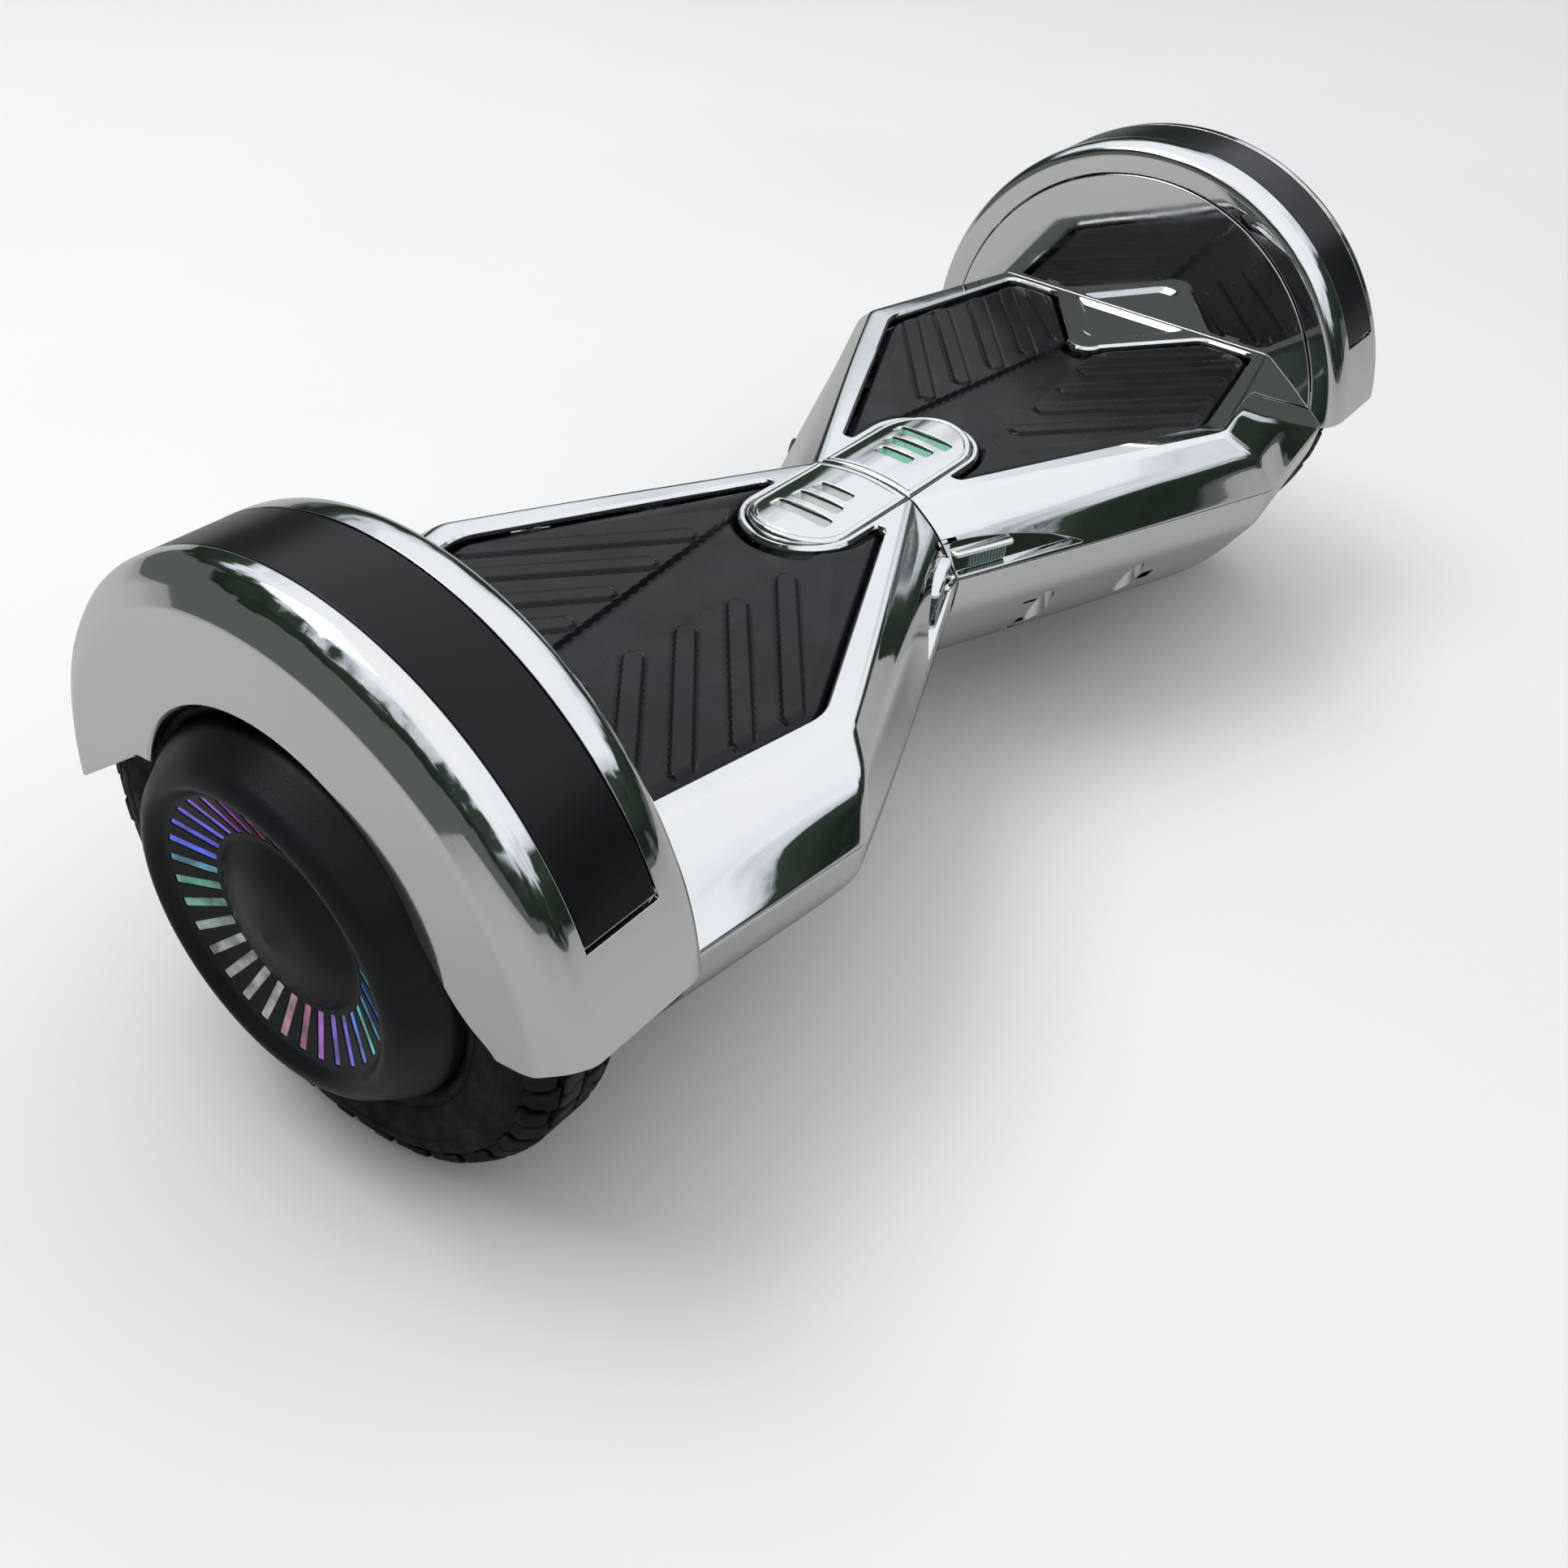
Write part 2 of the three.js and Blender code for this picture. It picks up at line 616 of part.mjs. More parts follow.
function half(side, drills) {
  const group = new THREE.Group();
  group.scale.x = side === "left" ? -1 : 1;
  const pieces = [
    ["upper_shell", upperShell(), plated],
    ["lower_shell", lowerShell(drills), plated],
    ["fender", fender(), plated],
    ["fender_strip", fenderStrip(), gripFilm],
    ["foot_pad", footPad(), padRubber],
    ["indicator_cover", indicatorCover(), plated],
    ["indicator_light", indicatorLight(), clearDiffuser],
    ["headlight_lens", headlightLens(), clearDiffuser],
    ["chassis", chassis(), castMetal],
    ["axle_clamp", axleClamp(), castMetal],
    ["clamp_screw_front", clampScrew(212, -15), steel],
    ["clamp_screw_rear", clampScrew(212, 15), steel],
    ["axle", axle(), steel],
    ["stator", stator(), copperCoils],
    ["inner_bearing", bearing(256.9, 264.9, 16.1), steel],
    ["hub_shell", hubShell(), castMetal],
    ["hub_cap", hubCap(), satinBlack],
    ["hub_light_ring", hubLightRing(), clearDiffuser],
    ["tyre", tyre(), tyreRubber],
    ["sensor_board", sensorBoard(), circuitGreen],
    ["motor_cable", motorCable(), cableJacket],
  ];
  for (const [name, body, material] of pieces) {
    add(group, `${side}_${name}`, body, material);
  }
  board.add(group);
  return group;
}

const socketDrill = wallDisc(SOCKET_ALONG, -5.6, 6, 6.5, WALL_FITTING_Z, 20);
const buttonDrill = wallDisc(BUTTON_ALONG, -5.6, 6, 5.9, WALL_FITTING_Z, 20);
const leftHalf = half("left", []);
const rightHalf = half("right", [socketDrill, buttonDrill]);

add(leftHalf, "battery_pack", batteryPack(), shrinkWrap);
add(leftHalf, "battery_strap", batteryStrap(), blackPlastic);
add(rightHalf, "control_board", controlBoard(), circuitGreen);
add(rightHalf, "control_heat_sink", controlHeatSink(), castMetal);
add(rightHalf, "speaker", speaker(), blackPlastic);
add(rightHalf, "power_button", powerButton(), blackPlastic);
add(rightHalf, "charge_socket", chargeSocket(), steel);
add(rightHalf, "charge_cap", chargeCap(), padRubber);

add(board, "pivot_shaft", pivotShaft(), steel);
add(leftHalf, "left_pivot_sleeve", sleeve(10, 60), bronze);
add(rightHalf, "right_pivot_bush_inner", sleeve(10, 28), bronze);
add(rightHalf, "right_pivot_bush_outer", sleeve(42, 60), bronze);
add(board, "pivot_retaining_ring", retainingRing(), steel);
add(board, "pivot_harness", pivotHarness(), cableJacket);

export default board;
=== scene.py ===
# %% [markdown]
# # A self balancing board, dressed for a studio picture
# The board is two mirrored halves that twist about a pivot in the middle. Each half is a plated shell
# with a rubber foot pad, and each half stands on a hub motor wheel under a plated fender.
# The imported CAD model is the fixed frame: it says where every piece is and how it moves. Here every
# surface that can be seen is made again, finer, inside the space of the CAD piece that it stands for.

import math

import bmesh
import bpy
import numpy as np
from mathutils import Matrix, Vector


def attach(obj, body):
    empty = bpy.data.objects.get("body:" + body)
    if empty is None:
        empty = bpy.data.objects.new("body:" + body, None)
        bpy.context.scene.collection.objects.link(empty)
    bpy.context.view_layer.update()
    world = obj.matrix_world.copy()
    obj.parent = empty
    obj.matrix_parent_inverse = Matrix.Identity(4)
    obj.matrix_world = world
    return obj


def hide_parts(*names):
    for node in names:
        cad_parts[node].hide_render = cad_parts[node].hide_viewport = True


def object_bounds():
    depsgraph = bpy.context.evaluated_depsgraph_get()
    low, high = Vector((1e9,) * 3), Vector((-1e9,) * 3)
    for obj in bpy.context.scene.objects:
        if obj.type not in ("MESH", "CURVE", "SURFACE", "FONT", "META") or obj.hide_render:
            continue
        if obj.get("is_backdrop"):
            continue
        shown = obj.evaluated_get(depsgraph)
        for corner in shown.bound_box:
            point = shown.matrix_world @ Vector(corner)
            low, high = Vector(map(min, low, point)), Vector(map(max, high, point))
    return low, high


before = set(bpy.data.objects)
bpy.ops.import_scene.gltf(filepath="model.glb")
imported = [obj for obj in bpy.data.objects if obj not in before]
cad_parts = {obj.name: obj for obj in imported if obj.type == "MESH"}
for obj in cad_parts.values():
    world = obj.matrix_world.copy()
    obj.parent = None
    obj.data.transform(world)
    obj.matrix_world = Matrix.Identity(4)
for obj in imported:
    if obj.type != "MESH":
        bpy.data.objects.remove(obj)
cad_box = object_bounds()

# %% [markdown]
# Sizes are written in millimetres, as on a drawing, and turned into metres only when a mesh is made.
# Everything is drawn for the right half, along +X. The left half is the same shape with X reversed.
# Mirroring turns faces inside out, so a mirrored mesh has its faces turned back.

# %% Meshes from points
MM = 0.001
AXLE_Z = 100.0
SIDES = ("left", "right")


def object_from(name, points, faces):
    mesh = bpy.data.meshes.new(name)
    mesh.from_pydata((np.asarray(points, float) * MM).tolist(), [], faces)
    thing = bpy.data.objects.new(name, mesh)
    bpy.context.scene.collection.objects.link(thing)
    return thing


def edit(thing, *steps):
    """Runs mesh steps on a piece; each step gets the bmesh."""
    bm = bmesh.new()
    bm.from_mesh(thing.data)
    for step in steps:
        step(bm)
    bm.to_mesh(thing.data)
    bm.free()
    return thing


MERGE = 2e-6


def weld(bm):
    bmesh.ops.remove_doubles(bm, verts=bm.verts, dist=MERGE)


def face_out(bm):
    bmesh.ops.recalc_face_normals(bm, faces=bm.faces)


def mirrored(thing, name):
    """A copy with X reversed and its faces turned back outwards."""
    twin = bpy.data.objects.new(name, thing.data.copy())
    bpy.context.scene.collection.objects.link(twin)
    twin.data.transform(Matrix.Scale(-1, 4, (1, 0, 0)))
    return edit(twin, lambda bm: bmesh.ops.reverse_faces(bm, faces=bm.faces))


# %% [markdown]
# Most shapes here are skins over rings of points: a body is a row of cross sections, a cutter is an
# outline raised through a few levels, and a turned piece is a profile carried round the axle.
# Corners become short curves, because a plated edge shows as a bright line only where it is round.

# %% Rings, outlines and skins
def skin(name, rings, round_trip=False):
    """Quads between rings in order. The ends are capped, or joined when it is a round trip."""
    rings = np.asarray(rings, float)
    count, size = rings.shape[:2]
    faces = []
    for r in range(count if round_trip else count - 1):
        here, there = r * size, ((r + 1) % count) * size
        for i in range(size):
            j = (i + 1) % size
            faces.append((here + i, here + j, there + j, there + i))
    if not round_trip:
        faces.append(tuple(range(size)))
        faces.append(tuple(range((count - 1) * size, count * size)))
    thing = object_from(name, rings.reshape(-1, 3), faces)
    return edit(thing, weld, face_out)


def rounded(corners, trims, steps=5, closed=True, fill=0):
    """A path whose corners are curves that start that far from each corner."""
    corners = [np.asarray(c, float) for c in corners]
    count = len(corners)
    trims = trims if hasattr(trims, "__len__") else [trims] * count
    path = []
    for i, corner in enumerate(corners):
        before, after = corners[i - 1], corners[(i + 1) % count]
        if trims[i] == 0 or (not closed and i in (0, count - 1)):
            curve = [corner]
        else:
            back, ahead = before - corner, after - corner
            start = corner + back * min(0.45, trims[i] / np.linalg.norm(back))
            end = corner + ahead * min(0.45, trims[i] / np.linalg.norm(ahead))
            ts = [k / steps for k in range(steps + 1)]
            curve = [(1 - t) ** 2 * start + 2 * t * (1 - t) * corner + t * t * end for t in ts]
        if path and fill:
            last = path[-1]
            path += [last + (curve[0] - last) * k / (fill + 1) for k in range(1, fill + 1)]
        path += curve
    if closed and fill:
        last = path[-1]
        path += [last + (path[0] - last) * k / (fill + 1) for k in range(1, fill + 1)]
    return np.array(path)


def grown(outline, by):
    """The outline moved outwards by that much."""
    here = np.asarray(outline, float)
    edge = np.roll(here, -1, 0) - here
    edge /= np.maximum(np.linalg.norm(edge, axis=1, keepdims=True), 1e-9)
    normal = np.stack([edge[:, 1], -edge[:, 0]], 1)
    x, y = here[:, 0], here[:, 1]
    if np.sum(x * np.roll(y, -1) - np.roll(x, -1) * y) < 0:
        normal = -normal
    before = np.roll(normal, 1, 0)
    lean = 1 + np.sum(normal * before, axis=1, keepdims=True)
    return here + by * (normal + before) / np.maximum(lean, 0.5)


def column(name, outline, levels, axis="z"):
    """An outline carried through levels of (growth, height); a height may be a function of place."""
    rings = []
    for grow, height in levels:
        flat = grown(outline, grow) if grow else np.asarray(outline, float)
        u, v = flat[:, 0], flat[:, 1]
        high = np.zeros(len(flat)) + (height(u, v) if callable(height) else height)
        columns = {"z": (u, v, high), "x": (high, u, v), "y": (u, high, v)}[axis]
        rings.append(np.stack(columns, 1))
    return skin(name, rings)


def turned(name, profile, segments):
    """A closed profile of (x, radius) carried round the wheel axle."""
    profile = np.asarray(profile, float)
    rings = []
    for k in range(segments):
        turn = 2 * math.pi * k / segments
        y = profile[:, 1] * math.sin(turn)
        z = AXLE_Z + profile[:, 1] * math.cos(turn)
        rings.append(np.stack([profile[:, 0], y, z], 1))
    return skin(name, rings, round_trip=True)


def box(name, x0, x1, y0, y1, z0, z1):
    return column(name, [(x0, y0), (x1, y0), (x1, y1), (x0, y1)], [(0, z0), (0, z1)])


def circle(cx, cy, radius, steps=48):
    turns = np.arange(steps) * 2 * math.pi / steps
    return np.stack([cx + radius * np.cos(turns), cy + radius * np.sin(turns)], 1)


def arc(cx, cy, radius, start, end, steps):
    turns = np.linspace(start, end, steps + 1)
    return list(zip(cx + radius * np.cos(turns), cy + radius * np.sin(turns)))


# %% [markdown]
# Openings are cut with the Boolean modifier, whose result is taken as a plain mesh straight away.
# The manifold solver is quick and keeps the fine grid around a cut untouched, which a mirror needs.

# %% Cutting and joining
def as_mesh(thing):
    """Takes the piece as its modifiers leave it, and removes them."""
    bpy.context.view_layer.update()
    evaluated = thing.evaluated_get(bpy.context.evaluated_depsgraph_get())
    fresh = bpy.data.meshes.new_from_object(evaluated)
    thing.modifiers.clear()
    thing.data = fresh
    return thing


def carve(target, tools, how="DIFFERENCE"):
    for tool in tools:
        change = target.modifiers.new("carve", "BOOLEAN")
        change.operation = how
        change.solver = "MANIFOLD"
        change.object = tool
        as_mesh(target)
        bpy.data.objects.remove(tool)
    return target


def join(name, things):
    """Puts separate closed parts into one piece."""
    bm = bmesh.new()
    for thing in things:
        bm.from_mesh(thing.data)
        bpy.data.objects.remove(thing)
    mesh = bpy.data.meshes.new(name)
    bm.to_mesh(mesh)
    bm.free()
    whole = bpy.data.objects.new(name, mesh)
    bpy.context.scene.collection.objects.link(whole)
    return whole


CREASE = math.radians(30)


def dress(thing, finish, body, nodes, even=True):
    """Shades a finished piece, gives it its finish and hangs it on its body."""
    thing.data.materials.clear()
    thing.data.materials.append(finish)
    thing.data.shade_smooth()
    thing.data.set_sharp_from_angle(angle=CREASE)
    if even:
        level = thing.modifiers.new("even shading", "WEIGHTED_NORMAL")
        level.keep_sharp = True
    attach(thing, body)
    if nodes:
        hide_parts(*nodes)
    print(thing.name, "has", len(thing.data.polygons), "faces and rides on", body)


def dress_pair(right_piece, finish, part, node, even=True, left_piece=None):
    """Dresses a right hand piece and its left hand twin; part and node are names without their side."""
    twin_name = right_piece.name.replace("right_", "left_")
    pair = (right_piece, left_piece or mirrored(right_piece, twin_name))
    for side, piece in zip(("right", "left"), pair):
        dress(piece, finish, f"{side}_{part}", [f"{side}_{node}"], even)


# %% [markdown]
# ## Finishes
# Each finish is a small tree of nodes on the Principled shader. Texture scales are one over a real
# length in metres: a grain of half a millimetre is a scale of 2000. Broad, faint patches stand for
# handling and dust, and fine noise through a Bump node stands for the grain of the mould.

# %% A tree for any finish
def finish_base(name, colour, roughness, metallic=0.0):
    finish = bpy.data.materials.new(name)
    finish.use_nodes = True
    shader = finish.node_tree.nodes["Principled BSDF"]
    shader.inputs["Base Color"].default_value = (*colour, 1)
    shader.inputs["Roughness"].default_value = roughness
    shader.inputs["Metallic"].default_value = metallic
    return finish, finish.node_tree, shader


def place(tree):
    """The piece's own coordinates, in metres."""
    return tree.nodes.new("ShaderNodeTexCoord").outputs["Object"]


def noise(tree, scale, detail=3.0, source=None):
    cloud = tree.nodes.new("ShaderNodeTexNoise")
    cloud.inputs["Scale"].default_value = scale
    cloud.inputs["Detail"].default_value = detail
    tree.links.new(source or place(tree), cloud.inputs["Vector"])
    return cloud.outputs["Fac"]


def spread(tree, value, low, high, start=0.35, end=0.65):
    """Spreads a value between two numbers."""
    ramp = tree.nodes.new("ShaderNodeMapRange")
    for socket, number in zip(("From Min", "From Max", "To Min", "To Max"), (start, end, low, high)):
        ramp.inputs[socket].default_value = number
    tree.links.new(value, ramp.inputs["Value"])
    return ramp.outputs["Result"]


def mix(tree, share, first, second):
    blend = tree.nodes.new("ShaderNodeMix")
    blend.data_type = "RGBA"
    for socket, colour in ((blend.inputs[6], first), (blend.inputs[7], second)):
        if isinstance(colour, tuple):
            socket.default_value = (*colour, 1)
        else:
            tree.links.new(colour, socket)
    tree.links.new(share, blend.inputs[0])
    return blend.outputs[2]


def calc(tree, operation, *terms):
    """A Math node; each term is a number or the output of another node."""
    sum_node = tree.nodes.new("ShaderNodeMath")
    sum_node.operation = operation
    for socket, term in zip(sum_node.inputs, terms):
        if isinstance(term, (int, float)):
            socket.default_value = term
        else:
            tree.links.new(term, socket)
    return sum_node.outputs[0]


def colour_ramp(tree, share, stops):
    """A colour that changes along the stops, which are pairs of a place and a colour."""
    ramp = tree.nodes.new("ShaderNodeValToRGB")
    ramp.color_ramp.elements.remove(ramp.color_ramp.elements[1])
    for k, (spot, colour) in enumerate(stops):
        stop = ramp.color_ramp.elements.new(spot) if k else ramp.color_ramp.elements[0]
        stop.position = spot
        stop.color = (*colour, 1)
    tree.links.new(share, ramp.inputs["Fac"])
    return ramp.outputs["Color"]


def bump(tree, height, depth, strength=1.0, under=None):
    relief = tree.nodes.new("ShaderNodeBump")
    relief.inputs["Distance"].default_value = depth
    relief.inputs["Strength"].default_value = strength
    tree.links.new(height, relief.inputs["Height"])
    if under:
        tree.links.new(under, relief.inputs["Normal"])
    return relief.outputs["Normal"]


def grained(name, colour, second, rough, metallic=0.0, grain=0.0005, depth=0.00002, patch=0.03,
            specular=0.5):
    """A finish with patches of a second colour, uneven gloss and a fine grain."""
    finish, tree, shader = finish_base(name, colour, rough[0], metallic)
    shader.inputs["Specular IOR Level"].default_value = specular
    cloud = noise(tree, 1 / patch, 5.0)
    tree.links.new(mix(tree, spread(tree, cloud, 0, 1), colour, second), shader.inputs["Base Color"])
    smear = noise(tree, 2.5 / patch, 6.0)
    tree.links.new(spread(tree, smear, *rough), shader.inputs["Roughness"])
    tree.links.new(bump(tree, noise(tree, 1 / grain, 2.0), depth), shader.inputs["Normal"])
    return finish, tree, shader


print("helpers for finishes are ready")

# %% [markdown]
# The shells are mirror plated plastic. Vacuum plating over a moulding is never quite flat, so a very
# shallow, broad ripple bends the reflections. A Bevel node rounds the look of every cut edge, which
# gives the bright hairline that a plated edge has. Dust and wiping leave patches of slightly duller film.

# %% Plated plastic
PLATE_BRIGHT = (0.78, 0.79, 0.80)
PLATE_DULL = (0.745, 0.755, 0.77)


def plated_finish():
    finish, tree, shader = finish_base("mirror plating", PLATE_BRIGHT, 0.035, 1.0)
    smear = noise(tree, 14.0, 8.0)
    speck = noise(tree, 900.0, 2.0)
    wiped = spread(tree, smear, 0.02, 0.085, 0.42, 0.72)
    dusty = spread(tree, speck, 0.0, 0.16, 0.66, 0.80)
    tree.links.new(calc(tree, "ADD", wiped, dusty), shader.inputs["Roughness"])
    tone = spread(tree, noise(tree, 9.0, 4.0), 0, 1)
    tree.links.new(mix(tree, tone, PLATE_BRIGHT, PLATE_DULL), shader.inputs["Base Color"])
    edge = tree.nodes.new("ShaderNodeBevel")
    edge.samples = 4
    edge.inputs["Radius"].default_value = 0.0005
    broad = bump(tree, noise(tree, 22.0, 1.0), 0.0009, 0.10, edge.outputs["Normal"])
    tree.links.new(bump(tree, noise(tree, 160.0, 2.0), 0.00006, 0.12, broad), shader.inputs["Normal"])
    return finish


plating = plated_finish()
print("made", plating.name)

# %% [markdown]
# The foot pads are soft moulded rubber with a fine spark eroded grain. Rubber is not black all over:
# shoe dust lies in pale patches, and handled places are a little glossier.

# %% Rubbers and black plastics
pad_rubber, _, _ = grained(
    "pad rubber", (0.006, 0.007, 0.009), (0.011, 0.012, 0.015), (0.24, 0.38),
    grain=0.0006, depth=0.00003, patch=0.05, specular=0.22,
)


def tyre_finish():
    finish, tree, shader = grained(
        "tyre rubber", (0.0035, 0.0035, 0.004), (0.008, 0.0078, 0.0078), (0.50, 0.75),
        grain=0.0008, depth=0.00006, patch=0.02, specular=0.15,
    )
    out = tree.nodes.new("ShaderNodeVectorMath")
    out.operation = "LENGTH"
    centre = tree.nodes.new("ShaderNodeMapping")
    centre.inputs["Location"].default_value = (0, 0, -AXLE_Z * MM)
    centre.inputs["Scale"].default_value = (0, 1, 1)
    tree.links.new(place(tree), centre.inputs["Vector"])
    tree.links.new(centre.outputs[0], out.inputs[0])
    worn = spread(tree, out.outputs["Value"], 0.0, 0.45, 0.0990, 0.1001)
    dust = calc(tree, "MULTIPLY", worn, spread(tree, noise(tree, 90.0, 6.0), 0.1, 1.0, 0.40, 0.62))
    under = shader.inputs["Base Color"].links[0].from_socket
    tree.links.new(mix(tree, dust, under, (0.085, 0.078, 0.070)), shader.inputs["Base Color"])
    return finish


tyre_rubber = tyre_finish()
strip_film, _, _ = grained(
    "black strip film", (0.006, 0.0065, 0.008), (0.009, 0.010, 0.012), (0.22, 0.30),
    grain=0.0012, depth=0.00001, patch=0.08, specular=0.20,
)
cap_plastic, _, _ = grained(
    "satin black plastic", (0.005, 0.006, 0.008), (0.009, 0.010, 0.013), (0.32, 0.44),
    grain=0.0007, depth=0.00004, patch=0.04, specular=0.20,
)
soft_black, _, _ = grained(
    "soft black rubber", (0.018, 0.018, 0.019), (0.028, 0.028, 0.030), (0.5, 0.68),
    grain=0.0005, depth=0.00003, patch=0.01,
)
inner_plastic, _, _ = grained(
    "inner black plastic", (0.030, 0.030, 0.033), (0.045, 0.045, 0.048), (0.50, 0.66),
    grain=0.0008, depth=0.00005, patch=0.02,
)
print("made the rubbers and black plastics")

# %% [markdown]
# The metals inside are seen only when the board is opened or twisted, but each has its own finish:
# sand cast aluminium is grainy, turned steel carries fine rings along its axis, and sintered bronze is
# speckled. Bands that run along one direction come from a noise that is squeezed by a Mapping node.

# %% Metals inside
def brushed(name, colour, second, rough, stretch, fine=2600.0):
    """A metal whose marks run along one direction; stretch squeezes the noise along each axis."""
    finish, tree, shader = finish_base(name, colour, rough[0], 1.0)
    lay = tree.nodes.new("ShaderNodeMapping")
    lay.inputs["Scale"].default_value = stretch
    tree.links.new(place(tree), lay.inputs["Vector"])
    marks = noise(tree, fine, 3.0, lay.outputs[0])
    tree.links.new(mix(tree, spread(tree, marks, 0, 1), colour, second), shader.inputs["Base Color"])
    tree.links.new(spread(tree, marks, *rough), shader.inputs["Roughness"])
    tree.links.new(bump(tree, marks, 0.00001), shader.inputs["Normal"])
    return finish


cast_metal, _, _ = grained(
    "sand cast aluminium", (0.50, 0.51, 0.53), (0.42, 0.43, 0.45), (0.38, 0.56), 0.9,
    grain=0.0011, depth=0.00012, patch=0.02,
)
turned_steel = brushed("turned steel", (0.60, 0.61, 0.62), (0.50, 0.51, 0.52), (0.22, 0.36), (1, 0.03, 0.03))
screw_steel = brushed("plated screw steel", (0.55, 0.55, 0.56), (0.40, 0.40, 0.41), (0.25, 0.42), (1, 1, 0.1))
bush_bronze, _, _ = grained(
    "sintered bronze", (0.52, 0.34, 0.12), (0.38, 0.24, 0.08), (0.32, 0.50), 1.0,
    grain=0.0004, depth=0.00004, patch=0.004,
)
copper_coils = brushed(
    "wound copper", (0.55, 0.23, 0.09), (0.26, 0.10, 0.04), (0.3, 0.5), (0.05, 1, 1), 1400.0)
print("made the metals")


# %% [markdown]
# Electronics: a circuit board is green lacquer over a mesh of copper tracks, a battery pack is glossy
# shrink film that creases over the cells, and a cable has a dull sleeve. The tracks come from a Brick
# texture, whose mortar lines are the tracks; the cells under the film come from a Wave texture.

# %% Electronics
def board_finish():
    finish, tree, shader = finish_base("green circuit board", (0.02, 0.15, 0.06), 0.35)
    bricks = tree.nodes.new("ShaderNodeTexBrick")
    bricks.inputs["Scale"].default_value = 180.0
    bricks.inputs["Mortar Size"].default_value = 0.03
    bricks.inputs["Color1"].default_value = (0.014, 0.11, 0.045, 1)
    bricks.inputs["Color2"].default_value = (0.020, 0.15, 0.06, 1)
    bricks.inputs["Mortar"].default_value = (0.06, 0.26, 0.11, 1)
    tree.links.new(place(tree), bricks.inputs["Vector"])
    tree.links.new(bricks.outputs["Color"], shader.inputs["Base Color"])
    tree.links.new(spread(tree, bricks.outputs["Fac"], 0.28, 0.5, 0, 1), shader.inputs["Roughness"])
    tree.links.new(bump(tree, bricks.outputs["Fac"], 0.00005), shader.inputs["Normal"])
    return finish


def wrap_finish():
    finish, tree, shader = grained(
        "blue shrink film", (0.015, 0.06, 0.30), (0.022, 0.09, 0.40), (0.14, 0.30),
        grain=0.002, depth=0.00005, patch=0.02,
    )
    cells = tree.nodes.new("ShaderNodeTexWave")
    cells.inputs["Scale"].default_value = 17.0
    cells.inputs["Distortion"].default_value = 0.6
    tree.links.new(place(tree), cells.inputs["Vector"])
    fine = shader.inputs["Normal"].links[0].from_socket
    tree.links.new(bump(tree, cells.outputs["Fac"], 0.0015, 0.6, fine), shader.inputs["Normal"])
    return finish


circuit_board = board_finish()
battery_film = wrap_finish()
cable_sleeve, _, _ = grained(
    "cable sleeve", (0.022, 0.022, 0.023), (0.034, 0.034, 0.035), (0.55, 0.7),
    grain=0.0006, depth=0.00004, patch=0.01,
)
print("made the electronics finishes")


# %% [markdown]
# Light pieces: the windows in the middle covers are clear plastic over a frosted diffuser, tinted green
# on the half that is switched on. The hub caps hold 32 clear bars that a ring of coloured lamps lights
# from behind. Their colour is a ramp on the angle round the axle, read from the piece's own coordinates,
# so the colours turn with the wheel.

# %% Light windows and coloured bars
def window_finish(name, colour, glow):
    finish, tree, shader = grained(name, colour, tuple(c * 0.86 for c in colour), (0.10, 0.22), grain=0.001)
    shader.inputs["Coat Weight"].default_value = 0.6
    shader.inputs["Emission Color"].default_value = (*colour, 1)
    shader.inputs["Emission Strength"].default_value = glow
    return finish


BAR_COLOURS = (
    (0.00, (0.10, 0.42, 0.33)), (0.05, (0.05, 0.08, 0.75)), (0.13, (0.10, 0.06, 0.62)),
    (0.19, (0.42, 0.06, 0.50)), (0.25, (0.62, 0.10, 0.20)), (0.30, (0.80, 0.72, 0.74)),
    (0.37, (0.92, 0.95, 0.93)), (0.42, (0.12, 0.70, 0.42)), (0.47, (0.05, 0.62, 0.60)),
    (0.52, (0.04, 0.20, 0.90)), (0.57, (0.08, 0.60, 0.45)), (0.62, (0.06, 0.10, 0.72)),
    (0.68, (0.20, 0.08, 0.58)), (0.74, (0.42, 0.12, 0.22)), (0.80, (0.30, 0.31, 0.31)),
    (0.91, (0.28, 0.30, 0.30)), (0.96, (0.08, 0.30, 0.22)),
)


def bar_finish():
    finish, tree, shader = finish_base("lit clear bars", (0.2, 0.2, 0.2), 0.12)
    split = tree.nodes.new("ShaderNodeSeparateXYZ")
    tree.links.new(place(tree), split.inputs[0])
    height = calc(tree, "SUBTRACT", split.outputs["Z"], AXLE_Z * MM)
    turn = calc(tree, "ARCTAN2", height, split.outputs["Y"])
    whole_turn = 2 * math.pi
    turn = calc(tree, "WRAP", turn, whole_turn, 0)
    colour = colour_ramp(tree, spread(tree, turn, 0, 1, 0, whole_turn), BAR_COLOURS)
    flicker = spread(tree, noise(tree, 130.0, 2.0), 0.25, 1.0, 0.35, 0.65)
    lit = mix(tree, flicker, (0.012, 0.012, 0.014), colour)
    tree.links.new(lit, shader.inputs["Base Color"])
    tree.links.new(lit, shader.inputs["Emission Color"])
    shader.inputs["Emission Strength"].default_value = 0.6
    shader.inputs["Coat Weight"].default_value = 0.8
    tree.links.new(bump(tree, noise(tree, 1500.0, 2.0), 0.00003), shader.inputs["Normal"])
    return finish


bars_lit = bar_finish()
window_clear = window_finish("frosted window", (0.62, 0.66, 0.62), 0.12)
window_green = window_finish("green window", (0.16, 0.52, 0.33), 0.30)
lens_green = window_finish("dark green lens", (0.012, 0.060, 0.048), 0.05)
print("made the light finishes")

